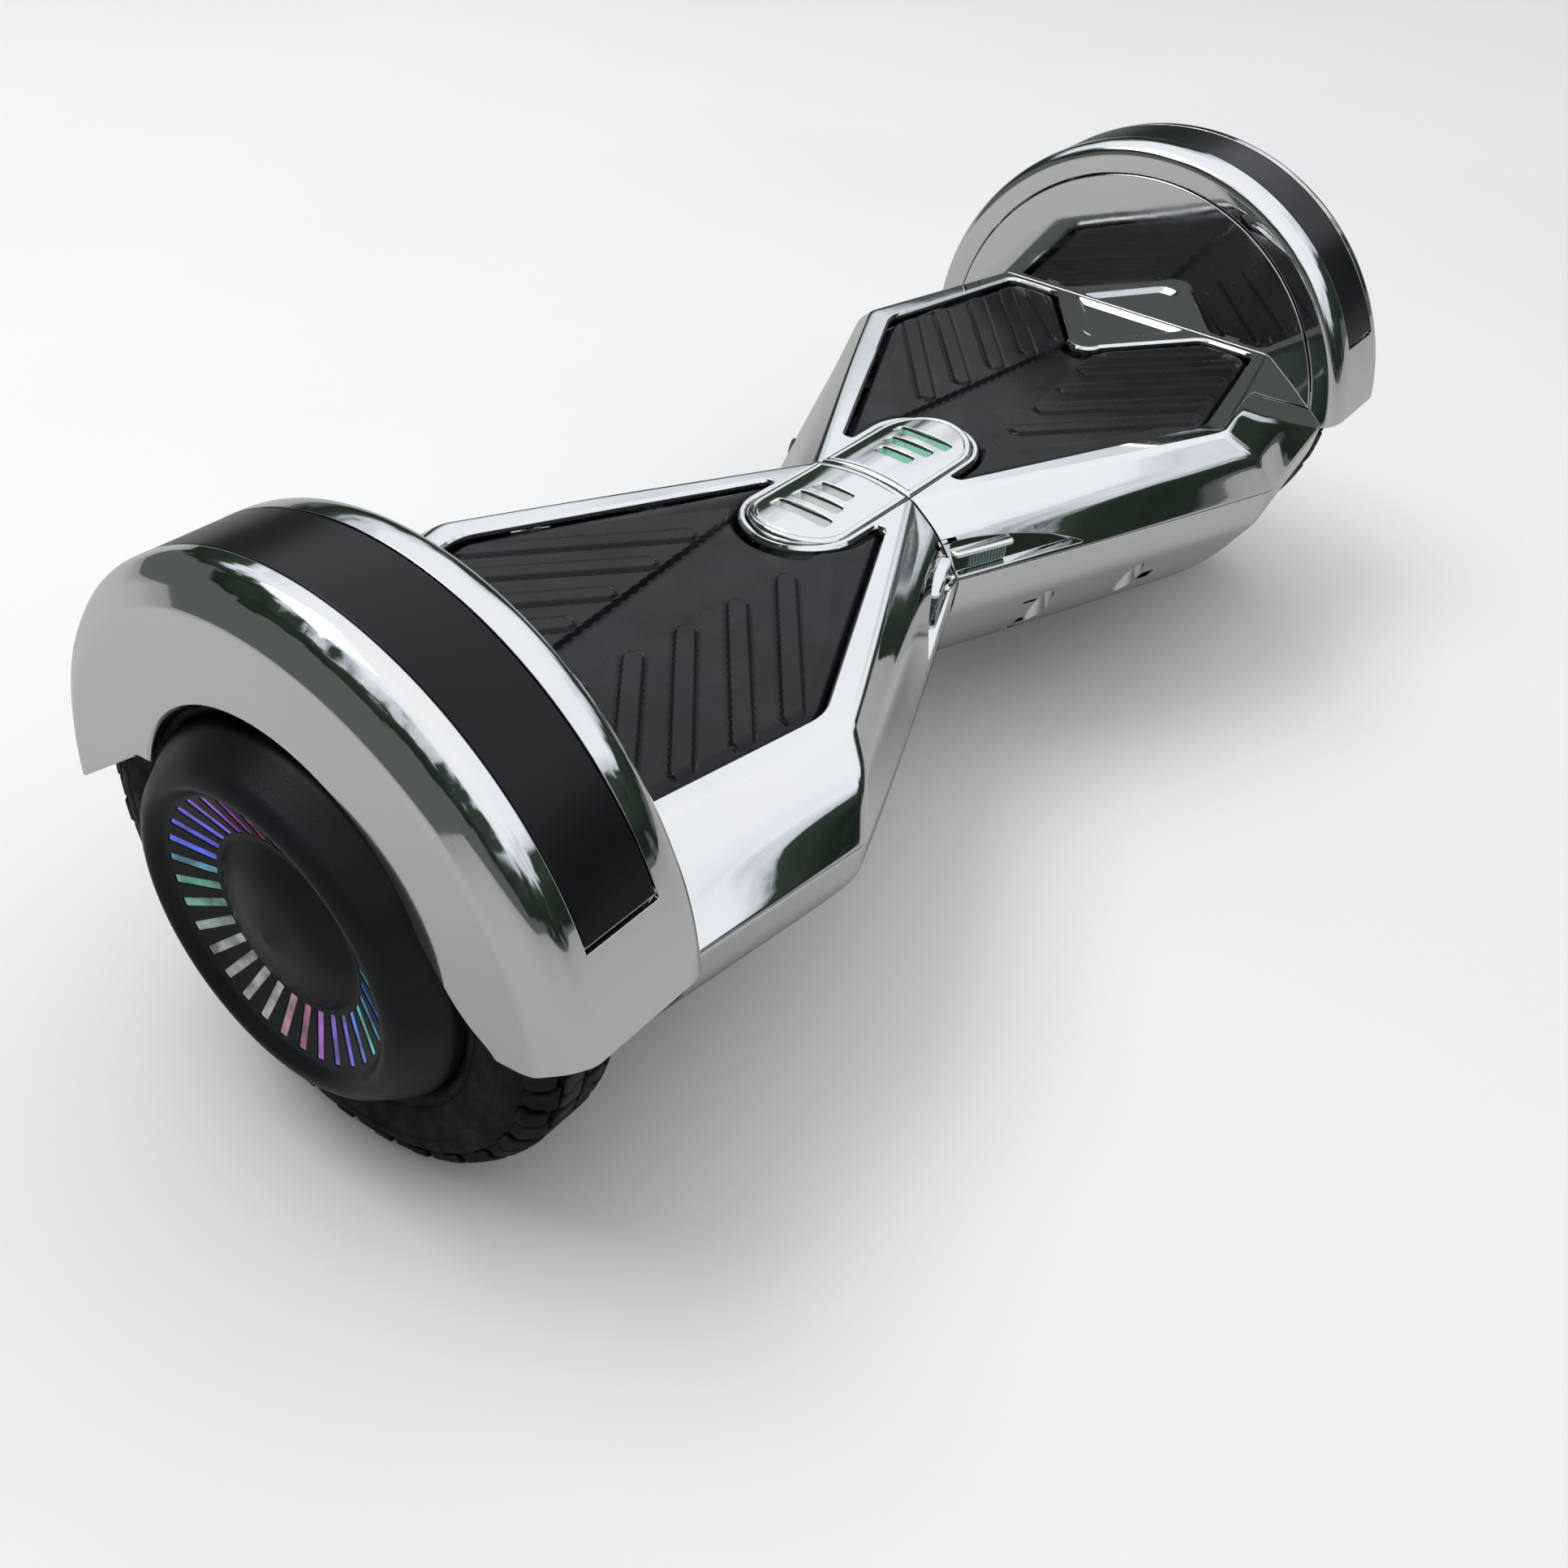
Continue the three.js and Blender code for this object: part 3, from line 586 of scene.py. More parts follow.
# %% [markdown]
# ## The body's form
# Both shells of a half share one outer form: a narrow waist at the centre seam, the widest point two
# thirds of the way out, and a tuck towards the wheel. Three cross sections are enough. Each lists the
# deck edge, shoulder, parting line, lip, belly and keel, and the corners between panels become curves.

# %% Cross sections and form
SEAM_X = 0.6
DISC_X = 241.3
STATIONS = (
    ((SEAM_X, 24, 134), (SEAM_X, 37.5, 124), (SEAM_X, 51, 106), (SEAM_X, 49.5, 91), (SEAM_X, 40, 67),
     (SEAM_X, 26, 52)),
    ((145, 96.7, 136.4), (155.5, 110.5, 125), (162.7, 117.9, 108.7), (162, 115.5, 92), (158, 98, 64),
     (150, 74, 46)),
    ((DISC_X, 75, 136.4), (DISC_X, 92.5, 124), (DISC_X, 109.3, 110), (DISC_X, 107, 94), (DISC_X, 88, 64),
     (DISC_X, 62, 46)),
)
CORNER_TRIMS = (0, 2.6, 6.0, 1.6, 5.0, 14.0, 12.0, 0)
WALL_INSETS = ((2.2, -3.0), (3.2, -1.4), (3.2, 0.0), (3.2, 0.4), (2.6, 2.0), (1.4, 3.0))
SEAM_WALL, DISC_WALL = 2.4, 3.0
WAIST_BULGE = 0.011
CORNER_RUN = 4.0


def half_section(station, inset):
    corners = []
    for (x, y, z), (dy, dz) in zip(station, WALL_INSETS):
        corners.append((x, y - dy, z + dz) if inset else (x, y, z))
    top, keel = corners[0], corners[-1]
    return [(top[0], 0, top[2]), *corners, (keel[0], 0, keel[2])]


def body_form(name, inset=False, x_start=SEAM_X, x_end=DISC_X):
    paths = [rounded(half_section(s, inset), CORNER_TRIMS, 5, False, 5) for s in STATIONS]
    paths[0][:, 0] = x_start
    paths[2][:, 0] = x_end
    rows = []
    for waist, widest, wheel_end in zip(*paths):
        line = rounded([waist, widest, wheel_end], CORNER_RUN, 6, False, 22)
        run = np.clip((line[:, 0] - waist[0]) / (widest[0] - waist[0]), 0, 1)
        line[:, 1] *= 1 + WAIST_BULGE * np.sin(math.pi * run)
        rows.append(line)
    half = np.array(rows).transpose(1, 0, 2)
    other = half[:, -2:0:-1] * (1, -1, 1)
    return skin(name, np.concatenate([half, other], axis=1))


DECK_Z = 134
DECK_RISE = 2.4
DECK_WIDE_X = 145


def deck_height(x, y):
    """The deck rises a little from the seam to the widest point. It is level across, so y is not used."""
    return DECK_Z + DECK_RISE * np.clip((x - SEAM_X) / (DECK_WIDE_X - SEAM_X), 0, 1)


PARTING_Z0 = 106.0
PARTING_SLOPE = 4 / 245
PARTING_GAP = 0.45


def parting_side(name, above):
    """The space above or below the sloping parting line."""
    shift, reach = (PARTING_GAP / 2, 150) if above else (-PARTING_GAP / 2, -150)
    far = 330
    low, high = PARTING_Z0 + shift, PARTING_Z0 + PARTING_SLOPE * far + shift
    outline = [(-10, low), (far, high), (far, high + reach), (-10, low + reach)]
    return column(name, outline, [(0, -170), (0, 170)], axis="y")


print("the widest section is", 2 * STATIONS[1][2][1], "mm across")


# %% [markdown]
# The deck has three outlines: the foot pad's opening, with its two points beside the middle and a notch
# for the tongue at the wheel end; the D shaped cover in the middle; and the shallow dish in the tongue.

# %% Deck outlines
COVER_ARC_X = 42.6
COVER_HALF = 22.4
PAD_SIDE = 25.8
PAD_CORNERS = ((28, 29.7), (146, 85.4), (235.8, 69), (235.8, 41.5))
TONGUE_TIP_X, TONGUE_TIP_R = 190.0, 8.6


def pad_outline(shrink=0.0):
    """The opening's edge, or the pad's own edge when it is shrunk by the gap round it."""
    side = PAD_SIDE + shrink
    (near_x, near_y), (wide_x, wide_y), (end_x, end_y), (notch_x, notch_y) = PAD_CORNERS
    near_x += 2 * shrink
    corners = [(near_x, near_y - shrink), (wide_x, wide_y - shrink), (end_x - shrink, end_y - shrink),
               (notch_x - shrink, notch_y + shrink)]
    tip = arc(TONGUE_TIP_X, 0, TONGUE_TIP_R + shrink, 1.5 * math.pi, 0.5 * math.pi, 12)
    near = [(near_x, -side), *[(x, -y) for x, y in corners]]
    far = [*reversed(corners), (near_x, side)]
    round_cover = arc(COVER_ARC_X, 0, side, 0.5 * math.pi, -0.5 * math.pi, 28)
    trims = [1.2, 2.0, 7.0, 5.0, 4.0] + [0] * 13 + [4.0, 5.0, 7.0, 2.0, 1.2] + [0] * 29
    return rounded(near + tip + far + round_cover, trims)


def cover_outline(grow=0.0):
    r = COVER_HALF + grow
    end = arc(COVER_ARC_X, 0, r, -0.5 * math.pi, 0.5 * math.pi, 40)
    return np.array([(SEAM_X - grow, -r), *end, (SEAM_X - grow, r)])


def tongue_dish():
    corners = [(197.5, 5.0), (197.5, -5.0), (238.5, -31), (238.5, 31)]
    return rounded(corners, [4.5, 4.5, 3, 3])


print("pad opening is", PAD_CORNERS[2][0] - PAD_CORNERS[0][0], "mm long")

# %% [markdown]
# ## Upper shells
# A real upper shell is one moulding: deck, shoulders, side walls and the flat round wall beside the
# wheel. It could be modelled panel by panel, but cutting it from a solid form keeps every panel true.
# The rims of the openings are bevelled, because that narrow bevel is what catches the light.

# %% The headlight hollow and its brow
SIDE_TURN = math.atan2(66.9, 162.7)
BROW_DEPTH = 37.0
BROW = ((5, 107.9), (72, 108.9), (58, 114.2), (40, 117.6), (20, 119.6), (5, 119.8))
BROW_WALL = 2.2
BROW_BACK = -8.0
BROW_LEAN = 0.41


def along_front_wall(thing):
    """Turns a piece that was drawn square to the seam so that it lies along the front wall."""
    thing.data.transform(Matrix.Rotation(-SIDE_TURN, 4, "Z"))
    thing.data.transform(Matrix.Translation((0, -BROW_DEPTH * MM, 0)))
    return thing


def brow_solid(name, grow):
    """The hollow, grown all round. Its back leans with the wall, so the step is deepest at the foot."""
    outline = grown(rounded(BROW, [2, 3, 8, 8, 8, 3]), grow)

    def back(along, z):
        return grow + BROW_BACK + BROW_LEAN * (z - BROW[0][1])

    return along_front_wall(column(name, outline, [(0, back), (0, -60)], axis="y"))


def visor():
    """The rounded shelf over the small lens."""
    outline = rounded([(5.5, -3), (36, -3), (36, -9.3), (5.5, -9.3)], [0, 0, 3, 2])
    levels = [(-0.5, 114.7), (0, 115.1), (0, 116.2), (-0.8, 116.8)]
    return along_front_wall(column("visor", outline, levels))


print("the brow is", BROW[1][0], "mm long")


# %% Upper shell
def shaft_rooms():
    """Cutters for the holes round the pivot at the seam and the axle at the wheel end."""
    return [column("pivot room", circle(0, AXLE_Z, 24), [(0, -1), (0, 60)], axis="x"),
            column("axle room", circle(0, AXLE_Z, 16), [(0, 200), (0, 260)], axis="x")]


def upper_shell():
    shell = body_form("right_upper_plating")
    carve(shell, [body_form("hollow", True, SEAM_X + SEAM_WALL, DISC_X - DISC_WALL)])
    backing = carve(body_form("backing"), [brow_solid("reach", BROW_WALL)], "INTERSECT")
    wall = rounded([(240.8, 0.01), (240.8, 102.4), (243.8, 102.4), (243.8, 0.01)], [0, 0.6, 0.8, 0])
    carve(shell, [backing, turned("wheel wall", wall, 256)], "UNION")
    carve(shell, [parting_side("above", True)], "INTERSECT")
    pad_levels = [(0, 118), (0, lambda x, y: deck_height(x, y) - 1.3),
                  (1.0, lambda x, y: deck_height(x, y) + 0.05), (1.0, 150)]
    cover_levels = [(0, 125), (0, lambda x, y: deck_height(x, y) - 0.5),
                    (0.6, lambda x, y: deck_height(x, y) + 0.1), (0.6, 150)]
    dish_levels = [(-4.2, 134.5), (-3.6, 134.55), (-0.3, 136.35), (0.3, 136.55), (0.3, 150)]
    carve(shell, [
        column("pad opening", pad_outline(), pad_levels),
        column("cover opening", cover_outline(0.4), cover_levels),
        column("tongue dish", tongue_dish(), dish_levels),
        brow_solid("brow", 0),
        *shaft_rooms(),
    ])
    carve(shell, [visor()], "UNION")
    return edit(shell, weld)


dress_pair(upper_shell(), plating, "half", "upper_shell")

# %% [markdown]
# ## Lower shells
# The lower shell is the same form below the parting line, with screw posts that reach up to the
# chassis. Two more posts stand close to each side wall, so their wells scoop into it.

# %% Lower shell
POSTS = ((62, 47), (126, 66), (216, 70))
WALL_POSTS = ((54, 63.5), (102, 83))
POST_FOOT = 30
POST_R, POST_TOP = 6.4, 89.6
WALL_POST_R, WALL_POST_TOP = 8.6, 99
WELL_R, WELL_TOP = 4.4, 78.0
WALL_WELL_R, WALL_WELL_TOP = 5.6, 95.0


def both_sides(points):
    return [(x, side * y) for side in (-1, 1) for x, y in points]


def post(name, x, y, radius, top):
    """An upright round bar that starts below the belly."""
    return column(name, circle(x, y, radius, 32), [(0, POST_FOOT), (0, top)])


def lower_shell(name, drills):
    shell = body_form(name)
    carve(shell, [body_form("hollow", True, SEAM_X + SEAM_WALL, DISC_X - DISC_WALL)])
    for spots, radius, top in ((POSTS, POST_R, POST_TOP), (WALL_POSTS, WALL_POST_R, WALL_POST_TOP)):
        for x, y in both_sides(spots):
            kept = carve(body_form("keep"), [post("post", x, y, radius, top)], "INTERSECT")
            carve(shell, [kept], "UNION")
    carve(shell, [parting_side("below", False)], "INTERSECT")
    for spots, radius, top in ((POSTS, WELL_R, WELL_TOP), (WALL_POSTS, WALL_WELL_R, WALL_WELL_TOP)):
        carve(shell, [post("well", x, y, radius, top) for x, y in both_sides(spots)])
    carve(shell, [
        *shaft_rooms(),
        *drills,
    ])
    return edit(shell, weld)


# %% [markdown]
# The charging socket, its cap and the power button sit on the rear side wall, square to it. They are
# drawn about an axis of their own and then moved onto the wall by one matrix.

# %% Places on the rear wall
WALL_AT_SEAM = 50.5
WALL_FITTING_Z = 98.5
SOCKET_ALONG = 60.0
BUTTON_ALONG = 96.0


def rear_wall(along):
    """A matrix whose Y axis points out of the rear wall, at that distance along it."""
    out = WALL_AT_SEAM + along * math.sin(SIDE_TURN)
    spot = (along * math.cos(SIDE_TURN), out, WALL_FITTING_Z)
    return Matrix.Translation(Vector(spot) * MM) @ Matrix.Rotation(SIDE_TURN, 4, "Z")


def wall_turned(name, profile, along, steps=48):
    """A closed profile of (radius, out) turned about the line that leaves the wall."""
    rings = []
    for k in range(steps):
        turn = 2 * math.pi * k / steps
        rings.append([(r * math.cos(turn), out, r * math.sin(turn)) for r, out in profile])
    thing = skin(name, rings, round_trip=True)
    thing.data.transform(rear_wall(along))
    return thing


def bore(radius, along):
    """A cutter that widens at the wall's face, so the hole has a rounded lip."""
    profile = [(0.01, -9), (radius, -9), (radius, -0.9), (radius + 0.9, 0.4), (radius + 0.9, 6), (0.01, 6)]
    return wall_turned("bore", profile, along)


right_lower = lower_shell("right_lower_plating", [bore(6.5, SOCKET_ALONG), bore(5.9, BUTTON_ALONG)])
undrilled = lower_shell("undrilled", [])
left_lower = mirrored(undrilled, "left_lower_plating")
bpy.data.objects.remove(undrilled)
dress_pair(right_lower, plating, "half", "lower_shell", left_piece=left_lower)

# %% [markdown]
# ## Fenders
# A fender is a turned ring with a round shoulder towards the deck and a shoulder of two facets on the
# outside. It ends just above the axle's height, and its front end rises a little. Its outer face has an
# arch that lets the hub cap show. A channel round the crown takes the black strip.

# %% Fender and strip
FENDER_R = 117.0
FENDER_X = 302.0
STRIP_X0, STRIP_X1 = 256.3, 284.8
STRIP_END_Z = 146.4
FENDER_END_Z = 103.0
RING_STEPS = 320


def above(z):
    """A box round the fender from that height up."""
    return box("above", 230, 310, -140, 140, z, 230)


def fender():
    corners = [(241.6, 103), (241.6, FENDER_R), (291.0, FENDER_R), (296.8, 112.4), (FENDER_X, 103.6),
               (FENDER_X, 40), (299.6, 40), (299.6, 113.4), (244.6, 113.4), (244.6, 103)]
    profile = rounded(corners, [0.5, 11.5, 2.6, 2.4, 2.0, 0, 0, 12.0, 8.0, 0.5], steps=8, fill=1)
    arch_ring = turned("right_fender_plating", profile, RING_STEPS)
    carve(arch_ring, [above(FENDER_END_Z)], "INTERSECT")
    bow = arc(0, 112, 63, 0.9 * math.pi, 0.1 * math.pi, 40)
    foot = FENDER_END_Z - 0.5
    arch = [(-89, 60), (-89, foot), (-74, 111), *bow, (66, 131), (104, foot), (104, 60)]
    arch = rounded(arch, [0, 6, 10] + [0] * len(bow) + [4, 0, 0])
    rise = [(-140, 60), (-140, 119), (-112, 110), (-98, 104.6), (-84, 102), (-84, 60)]
    rising_end = column("front end", rise, [(0, 230), (0, 310)], axis="x")
    arch_cut = column("arch", arch, [(0, 296), (0, 301.0), (1.0, 302.05), (1.0, 306)], axis="x")
    x0, x1 = STRIP_X0 - 0.5, STRIP_X1 + 0.5
    channel = turned("channel", [(x0, 115.0), (x0, 121), (x1, 121), (x1, 115.0)], RING_STEPS)
    carve(channel, [above(STRIP_END_Z - 2)], "INTERSECT")
    return edit(carve(arch_ring, [arch_cut, rising_end, channel]), weld)


def strip():
    corners = [(STRIP_X0, 115.4), (STRIP_X0, 116.9), (STRIP_X1, 116.9), (STRIP_X1, 115.4)]
    band = turned("right_fender_band", rounded(corners, [0, 0.7, 0.7, 0], fill=2), RING_STEPS)
    return edit(carve(band, [above(STRIP_END_Z)], "INTERSECT"), weld)


dress_pair(fender(), plating, "half", "fender")
dress_pair(strip(), strip_film, "half", "fender_strip")


# %% [markdown]
# ## Sculpted tops
# The foot pads and the middle covers are outlines with a modelled top. Their upper face is a fine grid
# clipped to the outline: the grid's border points are moved onto the outline itself, and a function
# gives each point its height. That puts ribs, steps, grooves and rolled edges into real geometry.

# %% A grid over an outline
def nearest_on(outline, points):
    """Distance from each point to the outline, and the nearest place on it."""
    start = np.asarray(outline, float)
    run = np.roll(start, -1, 0) - start
    length2 = np.maximum((run ** 2).sum(1), 1e-12)
    best = np.full(len(points), np.inf)
    where = np.zeros((len(points), 2))
    for a, r, l2 in zip(start, run, length2):
        t = np.clip(((points - a) @ r) / l2, 0, 1)
        spot = a + t[:, None] * r
        gap = ((points - spot) ** 2).sum(1)
        closer = gap < best
        best[closer] = gap[closer]
        where[closer] = spot[closer]
    return np.sqrt(best), where


def inside(outline, points):
    """True for each point that lies within the outline."""
    x, y = points[:, 0], points[:, 1]
    odd = np.zeros(len(points), bool)
    for (ax, ay), (bx, by) in zip(outline, np.roll(outline, -1, 0)):
        if ay != by:
            odd ^= ((ay > y) != (by > y)) & (x < (bx - ax) * (y - ay) / (by - ay) + ax)
    return odd


def sculpted(name, outline, pitch, top, floor):
    """A solid over an outline: top gives each grid point its height, and floor is its flat underside."""
    low, high = outline.min(0) - pitch, outline.max(0) + pitch
    xs = np.arange(low[0], high[0] + pitch, pitch)
    ys = np.arange(low[1], high[1] + pitch, pitch)
    grid = np.stack(np.meshgrid(xs, ys, indexing="ij"), -1).reshape(-1, 2)
    rows, cols = len(xs), len(ys)
    corner = (np.arange(rows - 1)[:, None] * cols + np.arange(cols - 1)).ravel()
    cells = np.stack([corner, corner + cols, corner + cols + 1, corner + 1], 1)
    cells = cells[inside(outline, grid[cells].mean(1))]
    uses = np.bincount(cells.ravel(), minlength=len(grid))
    used = np.flatnonzero(uses)
    border = np.flatnonzero((uses > 0) & (uses < 4))
    gap, where = nearest_on(outline, grid[border])
    grid[border] = where
    depth = np.zeros(len(grid))
    depth[used], _ = nearest_on(outline, grid[used])
    depth[border] = 0
    renumber = np.zeros(len(grid), int)
    renumber[used] = np.arange(len(used))
    x, y, d = grid[used, 0], grid[used, 1], depth[used]
    points = np.stack([x, y, top(x, y, d)], 1)
    thing = object_from(name, points, renumber[cells].tolist())

    def close_below(bm):
        rim = [e for e in bm.edges if e.is_boundary]
        made = bmesh.ops.extrude_edge_only(bm, edges=rim)["geom"]
        for v in made:
            if isinstance(v, bmesh.types.BMVert):
                v.co.z = floor * MM
        rim = [e for e in bm.edges if e.is_boundary]
        bmesh.ops.edgeloop_fill(bm, edges=rim)

    return edit(thing, weld, close_below, face_out)


def ease(value):
    """A smooth step from 0 to 1."""
    t = np.clip(value, 0, 1)
    return t * t * (3 - 2 * t)


def off_line(x, y, start, end):
    """Distance from points to the straight line through two points."""
    (ax, ay), (bx, by) = start, end
    return abs((bx - ax) * (y - ay) - (by - ay) * (x - ax)) / math.hypot(bx - ax, by - ay)


def off_segment(x, y, start, end):
    (ax, ay), (bx, by) = start, end
    t = np.clip(((x - ax) * (bx - ax) + (y - ay) * (by - ay)) / ((bx - ax) ** 2 + (by - ay) ** 2), 0, 1)
    return np.hypot(x - ax - t * (bx - ax), y - ay - t * (by - ay))


PAD_PITCH = 0.6
COVER_PITCH = 0.5
print("the pads use a grid of", PAD_PITCH, "mm and the covers one of", COVER_PITCH, "mm")

# %% [markdown]
# ## Foot pads
# A pad has two wings with five raised ribs each, and a lower lane between them. Its outer border
# slopes down, and the slope widens towards the middle of the board. Below it, two studs press on the
# sensor board, so the pad rides on its own body and moves as one.

# %% Foot pad
PAD_TOP = 134.4
PAD_FLOOR = 128.4
PAD_GAP = 1.1
BORDER_WIDE, BORDER_MORE, BORDER_DROP = 7.5, 13, 2.2
EDGE_WIDE, EDGE_DROP = 2.6, 2.4
RIB_LANE_X = (81, 107, 133, 158, 184)
RIB_EDGE = ((152, 77.5), (174, 73.5), (199, 68.5), (222, 64), (231, 52))
RIB_R = 3.7
RIB_HIGH = 0.9
RIB_START = 4.6
MOAT_DEEP = 0.55
LANE_DEEP = 2.4


def lane_half(x):
    """Half the lane's width, which narrows from 20 mm to 9 mm towards the wheel."""
    return 20 - (x - 80) * 11 / 104


def pad_top(x, y, d):
    """The pad's height at points that lie d inside its edge."""
    side = np.abs(y)
    high = np.full(len(x), PAD_TOP)
    rib = np.zeros(len(x))
    moat = np.zeros(len(x))
    for lane_x, edge in zip(RIB_LANE_X, RIB_EDGE):
        gap = off_segment(x, side, (lane_x + RIB_START, lane_half(lane_x) + RIB_START), edge)
        rib = np.maximum(rib, ease((RIB_R + 0.4 - gap) / 0.9))
        moat = np.maximum(moat, np.exp(-(((gap - RIB_R - 0.7) / 0.6) ** 2)))
    within = ease((d - 2.5) / 2.0)
    lane = ease((lane_half(x) - side) / 1.2)
    long_edge = off_line(x, side, PAD_CORNERS[0], PAD_CORNERS[1])
    end_edge = off_line(x, side, PAD_CORNERS[1], PAD_CORNERS[2])
    border = BORDER_WIDE + BORDER_MORE * ease((112 - x) / 85)
    slope = np.maximum(np.clip(1 - long_edge / border, 0, 1), np.clip(1 - end_edge / BORDER_WIDE, 0, 1))
    high -= BORDER_DROP * slope
    high -= LANE_DEEP * lane
    high += within * (RIB_HIGH * rib - MOAT_DEEP * moat * (1 - rib) * (1 - lane))
    high -= EDGE_DROP * np.clip(1 - d / EDGE_WIDE, 0, 1) ** 2
    return high


def foot_pad():
    face = sculpted("pad face", pad_outline(PAD_GAP), PAD_PITCH, pad_top, PAD_FLOOR)
    studs = []
    for y in (-50, 50):
        levels = [(-1.2, 101), (0, 102), (0, 127.5), (1.5, 128.9)]
        studs.append(column("stud", circle(150, y, 6, 32), levels))
    return join("right_pad_rubber", [face, *studs])


dress_pair(foot_pad(), pad_rubber, "pad", "foot_pad", even=False)

# %% [markdown]
# ## Middle covers
# Each half has a D shaped, barrel topped cover over the pivot, with three windows that grow longer
# towards the round end. The windows are cut with bevelled sides, and a frosted plate lies below them.

# %% Middle cover and its light
CROWN_Z = 138.0
CROWN_R = 80.7
WINDOWS = ((22, 8.2), (33, 10.7), (44, 13.2))
WINDOW_HALF_WIDE = 2.8


def crown(x, y):
    """The barrel top of the covers, the same all along x."""
    return CROWN_Z - CROWN_R + np.sqrt(CROWN_R ** 2 - y ** 2)


def cover_top(x, y, d):
    """The barrel top with a groove just inside its edge and a rolled rim."""
    high = crown(x, y)
    high -= 0.55 * np.exp(-(((d - 2.7) / 0.5) ** 2)) * ease((x - 2.5) / 2)
    high -= 0.9 * np.clip(1 - d / 1.1, 0, 1) ** 2
    return high


def middle_cover():
    cover = sculpted("right_cover_plating", cover_outline(-0.15), COVER_PITCH, cover_top, 132.0)
    tools = []
    for x, long in WINDOWS:
        x0, x1 = x - WINDOW_HALF_WIDE, x + WINDOW_HALF_WIDE
        corners = [(x0, -long), (x1, -long), (x1, long), (x0, long)]
        outline = rounded(corners, 1.2, 5)
        levels = [(0, 120), (0, lambda x, y: crown(x, y) - 1.0), (0.8, lambda x, y: crown(x, y) + 0.08),
                  (0.8, 150)]
        tools.append(column("window", outline, levels))
    hollow = column("hollow", cover_outline(-2.2), [(0, 120), (0, lambda x, y: crown(x, y) - 2.4)])
    return edit(carve(cover, [hollow, *tools]), weld)


def cover_light(name):
    plate = rounded([(16, -14.5), (50, -14.5), (50, 14.5), (16, 14.5)], 2.0)
    levels = [(-0.4, 130.4), (0, 130.8), (0, lambda x, y: crown(x, y) - 4.2),
              (-0.5, lambda x, y: crown(x, y) - 3.6)]
    return column(name, plate, levels)


right_cover = middle_cover()
left_cover = mirrored(right_cover, "left_cover_plating")
for side, piece, tint in (("right", right_cover, window_green), ("left", left_cover, window_clear)):
    dress(piece, plating, f"{side}_half", [f"{side}_indicator_cover"])
    light = cover_light(f"{side}_cover_light")
    if side == "left":
        light = mirrored(light, "left_cover_diffuser")
        bpy.data.objects.remove(bpy.data.objects["left_cover_light"])
    dress(light, tint, f"{side}_half", [f"{side}_indicator_light"])

# %% [markdown]
# ## Headlight lenses
# Under each brow and its visor sits a small dark lens. It is a block with bevelled edges and a row of
# shallow flutes, so it glints like a moulded lens.

# %% Headlight lens
def lens():
    flutes = [(12.6 + 0.8 * k, -8.3 - (0.3 if k % 2 else 0.0)) for k in range(24)]
    outline = [(12.3, -4.9), *flutes, (31.9, -8.2), (31.9, -4.9)]
    levels = [(-0.3, 108.9), (0, 109.2), (0, 114.2), (-0.3, 114.5)]
    return along_front_wall(column("right_brow_lens", outline, levels))


dress_pair(lens(), lens_green, "half", "headlight_lens")

# %% [markdown]
# ## Copies round an axle
# Tread blocks and the slots of a hub cap repeat round the wheel. A Geometry Nodes tree takes one pitch,
# drawn with the axle as its origin, and makes as many turned copies as its Count says. Realize
# Instances turns them into plain mesh, because an exported model can't hold instances.

# %% Geometry Nodes: a ring of copies
def new_tree(name, inputs):
    tree = bpy.data.node_groups.new(name, "GeometryNodeTree")
    tree.interface.new_socket("Geometry", in_out="INPUT", socket_type="NodeSocketGeometry")
    for label, kind in inputs:
        tree.interface.new_socket(label, in_out="INPUT", socket_type=f"NodeSocket{kind}")
    tree.interface.new_socket("Geometry", in_out="OUTPUT", socket_type="NodeSocketGeometry")
    return tree, tree.nodes.new("NodeGroupInput").outputs, tree.nodes.new("NodeGroupOutput").inputs


def ring_tree():
    tree, given, result = new_tree(
        "ring of copies", [("Count", "Int"), ("Axle height", "Float"), ("Material", "Material")])
    link, add = tree.links.new, tree.nodes.new
    points = add("GeometryNodePoints")
    link(given["Count"], points.inputs["Count"])
    step = add("ShaderNodeMath")
    step.operation = "DIVIDE"
    step.inputs[0].default_value = 2 * math.pi
    link(given["Count"], step.inputs[1])
    turn = add("ShaderNodeMath")
    turn.operation = "MULTIPLY"
    link(add("GeometryNodeInputIndex").outputs[0], turn.inputs[0])
    link(step.outputs[0], turn.inputs[1])
    angles = add("ShaderNodeCombineXYZ")
    link(turn.outputs[0], angles.inputs["X"])
    spin = add("FunctionNodeEulerToRotation")
    link(angles.outputs[0], spin.inputs[0])
    copies = add("GeometryNodeInstanceOnPoints")
    link(points.outputs[0], copies.inputs["Points"])
    link(given["Geometry"], copies.inputs["Instance"])
    link(spin.outputs[0], copies.inputs["Rotation"])
    lift = add("ShaderNodeCombineXYZ")
    link(given["Axle height"], lift.inputs["Z"])
    real = add("GeometryNodeRealizeInstances")
    link(copies.outputs[0], real.inputs[0])
    move = add("GeometryNodeTransform")
    link(real.outputs[0], move.inputs["Geometry"])
    link(lift.outputs[0], move.inputs["Translation"])
    paint = add("GeometryNodeSetMaterial")
    link(move.outputs[0], paint.inputs["Geometry"])
    link(given["Material"], paint.inputs["Material"])
    link(paint.outputs[0], result["Geometry"])
    return tree


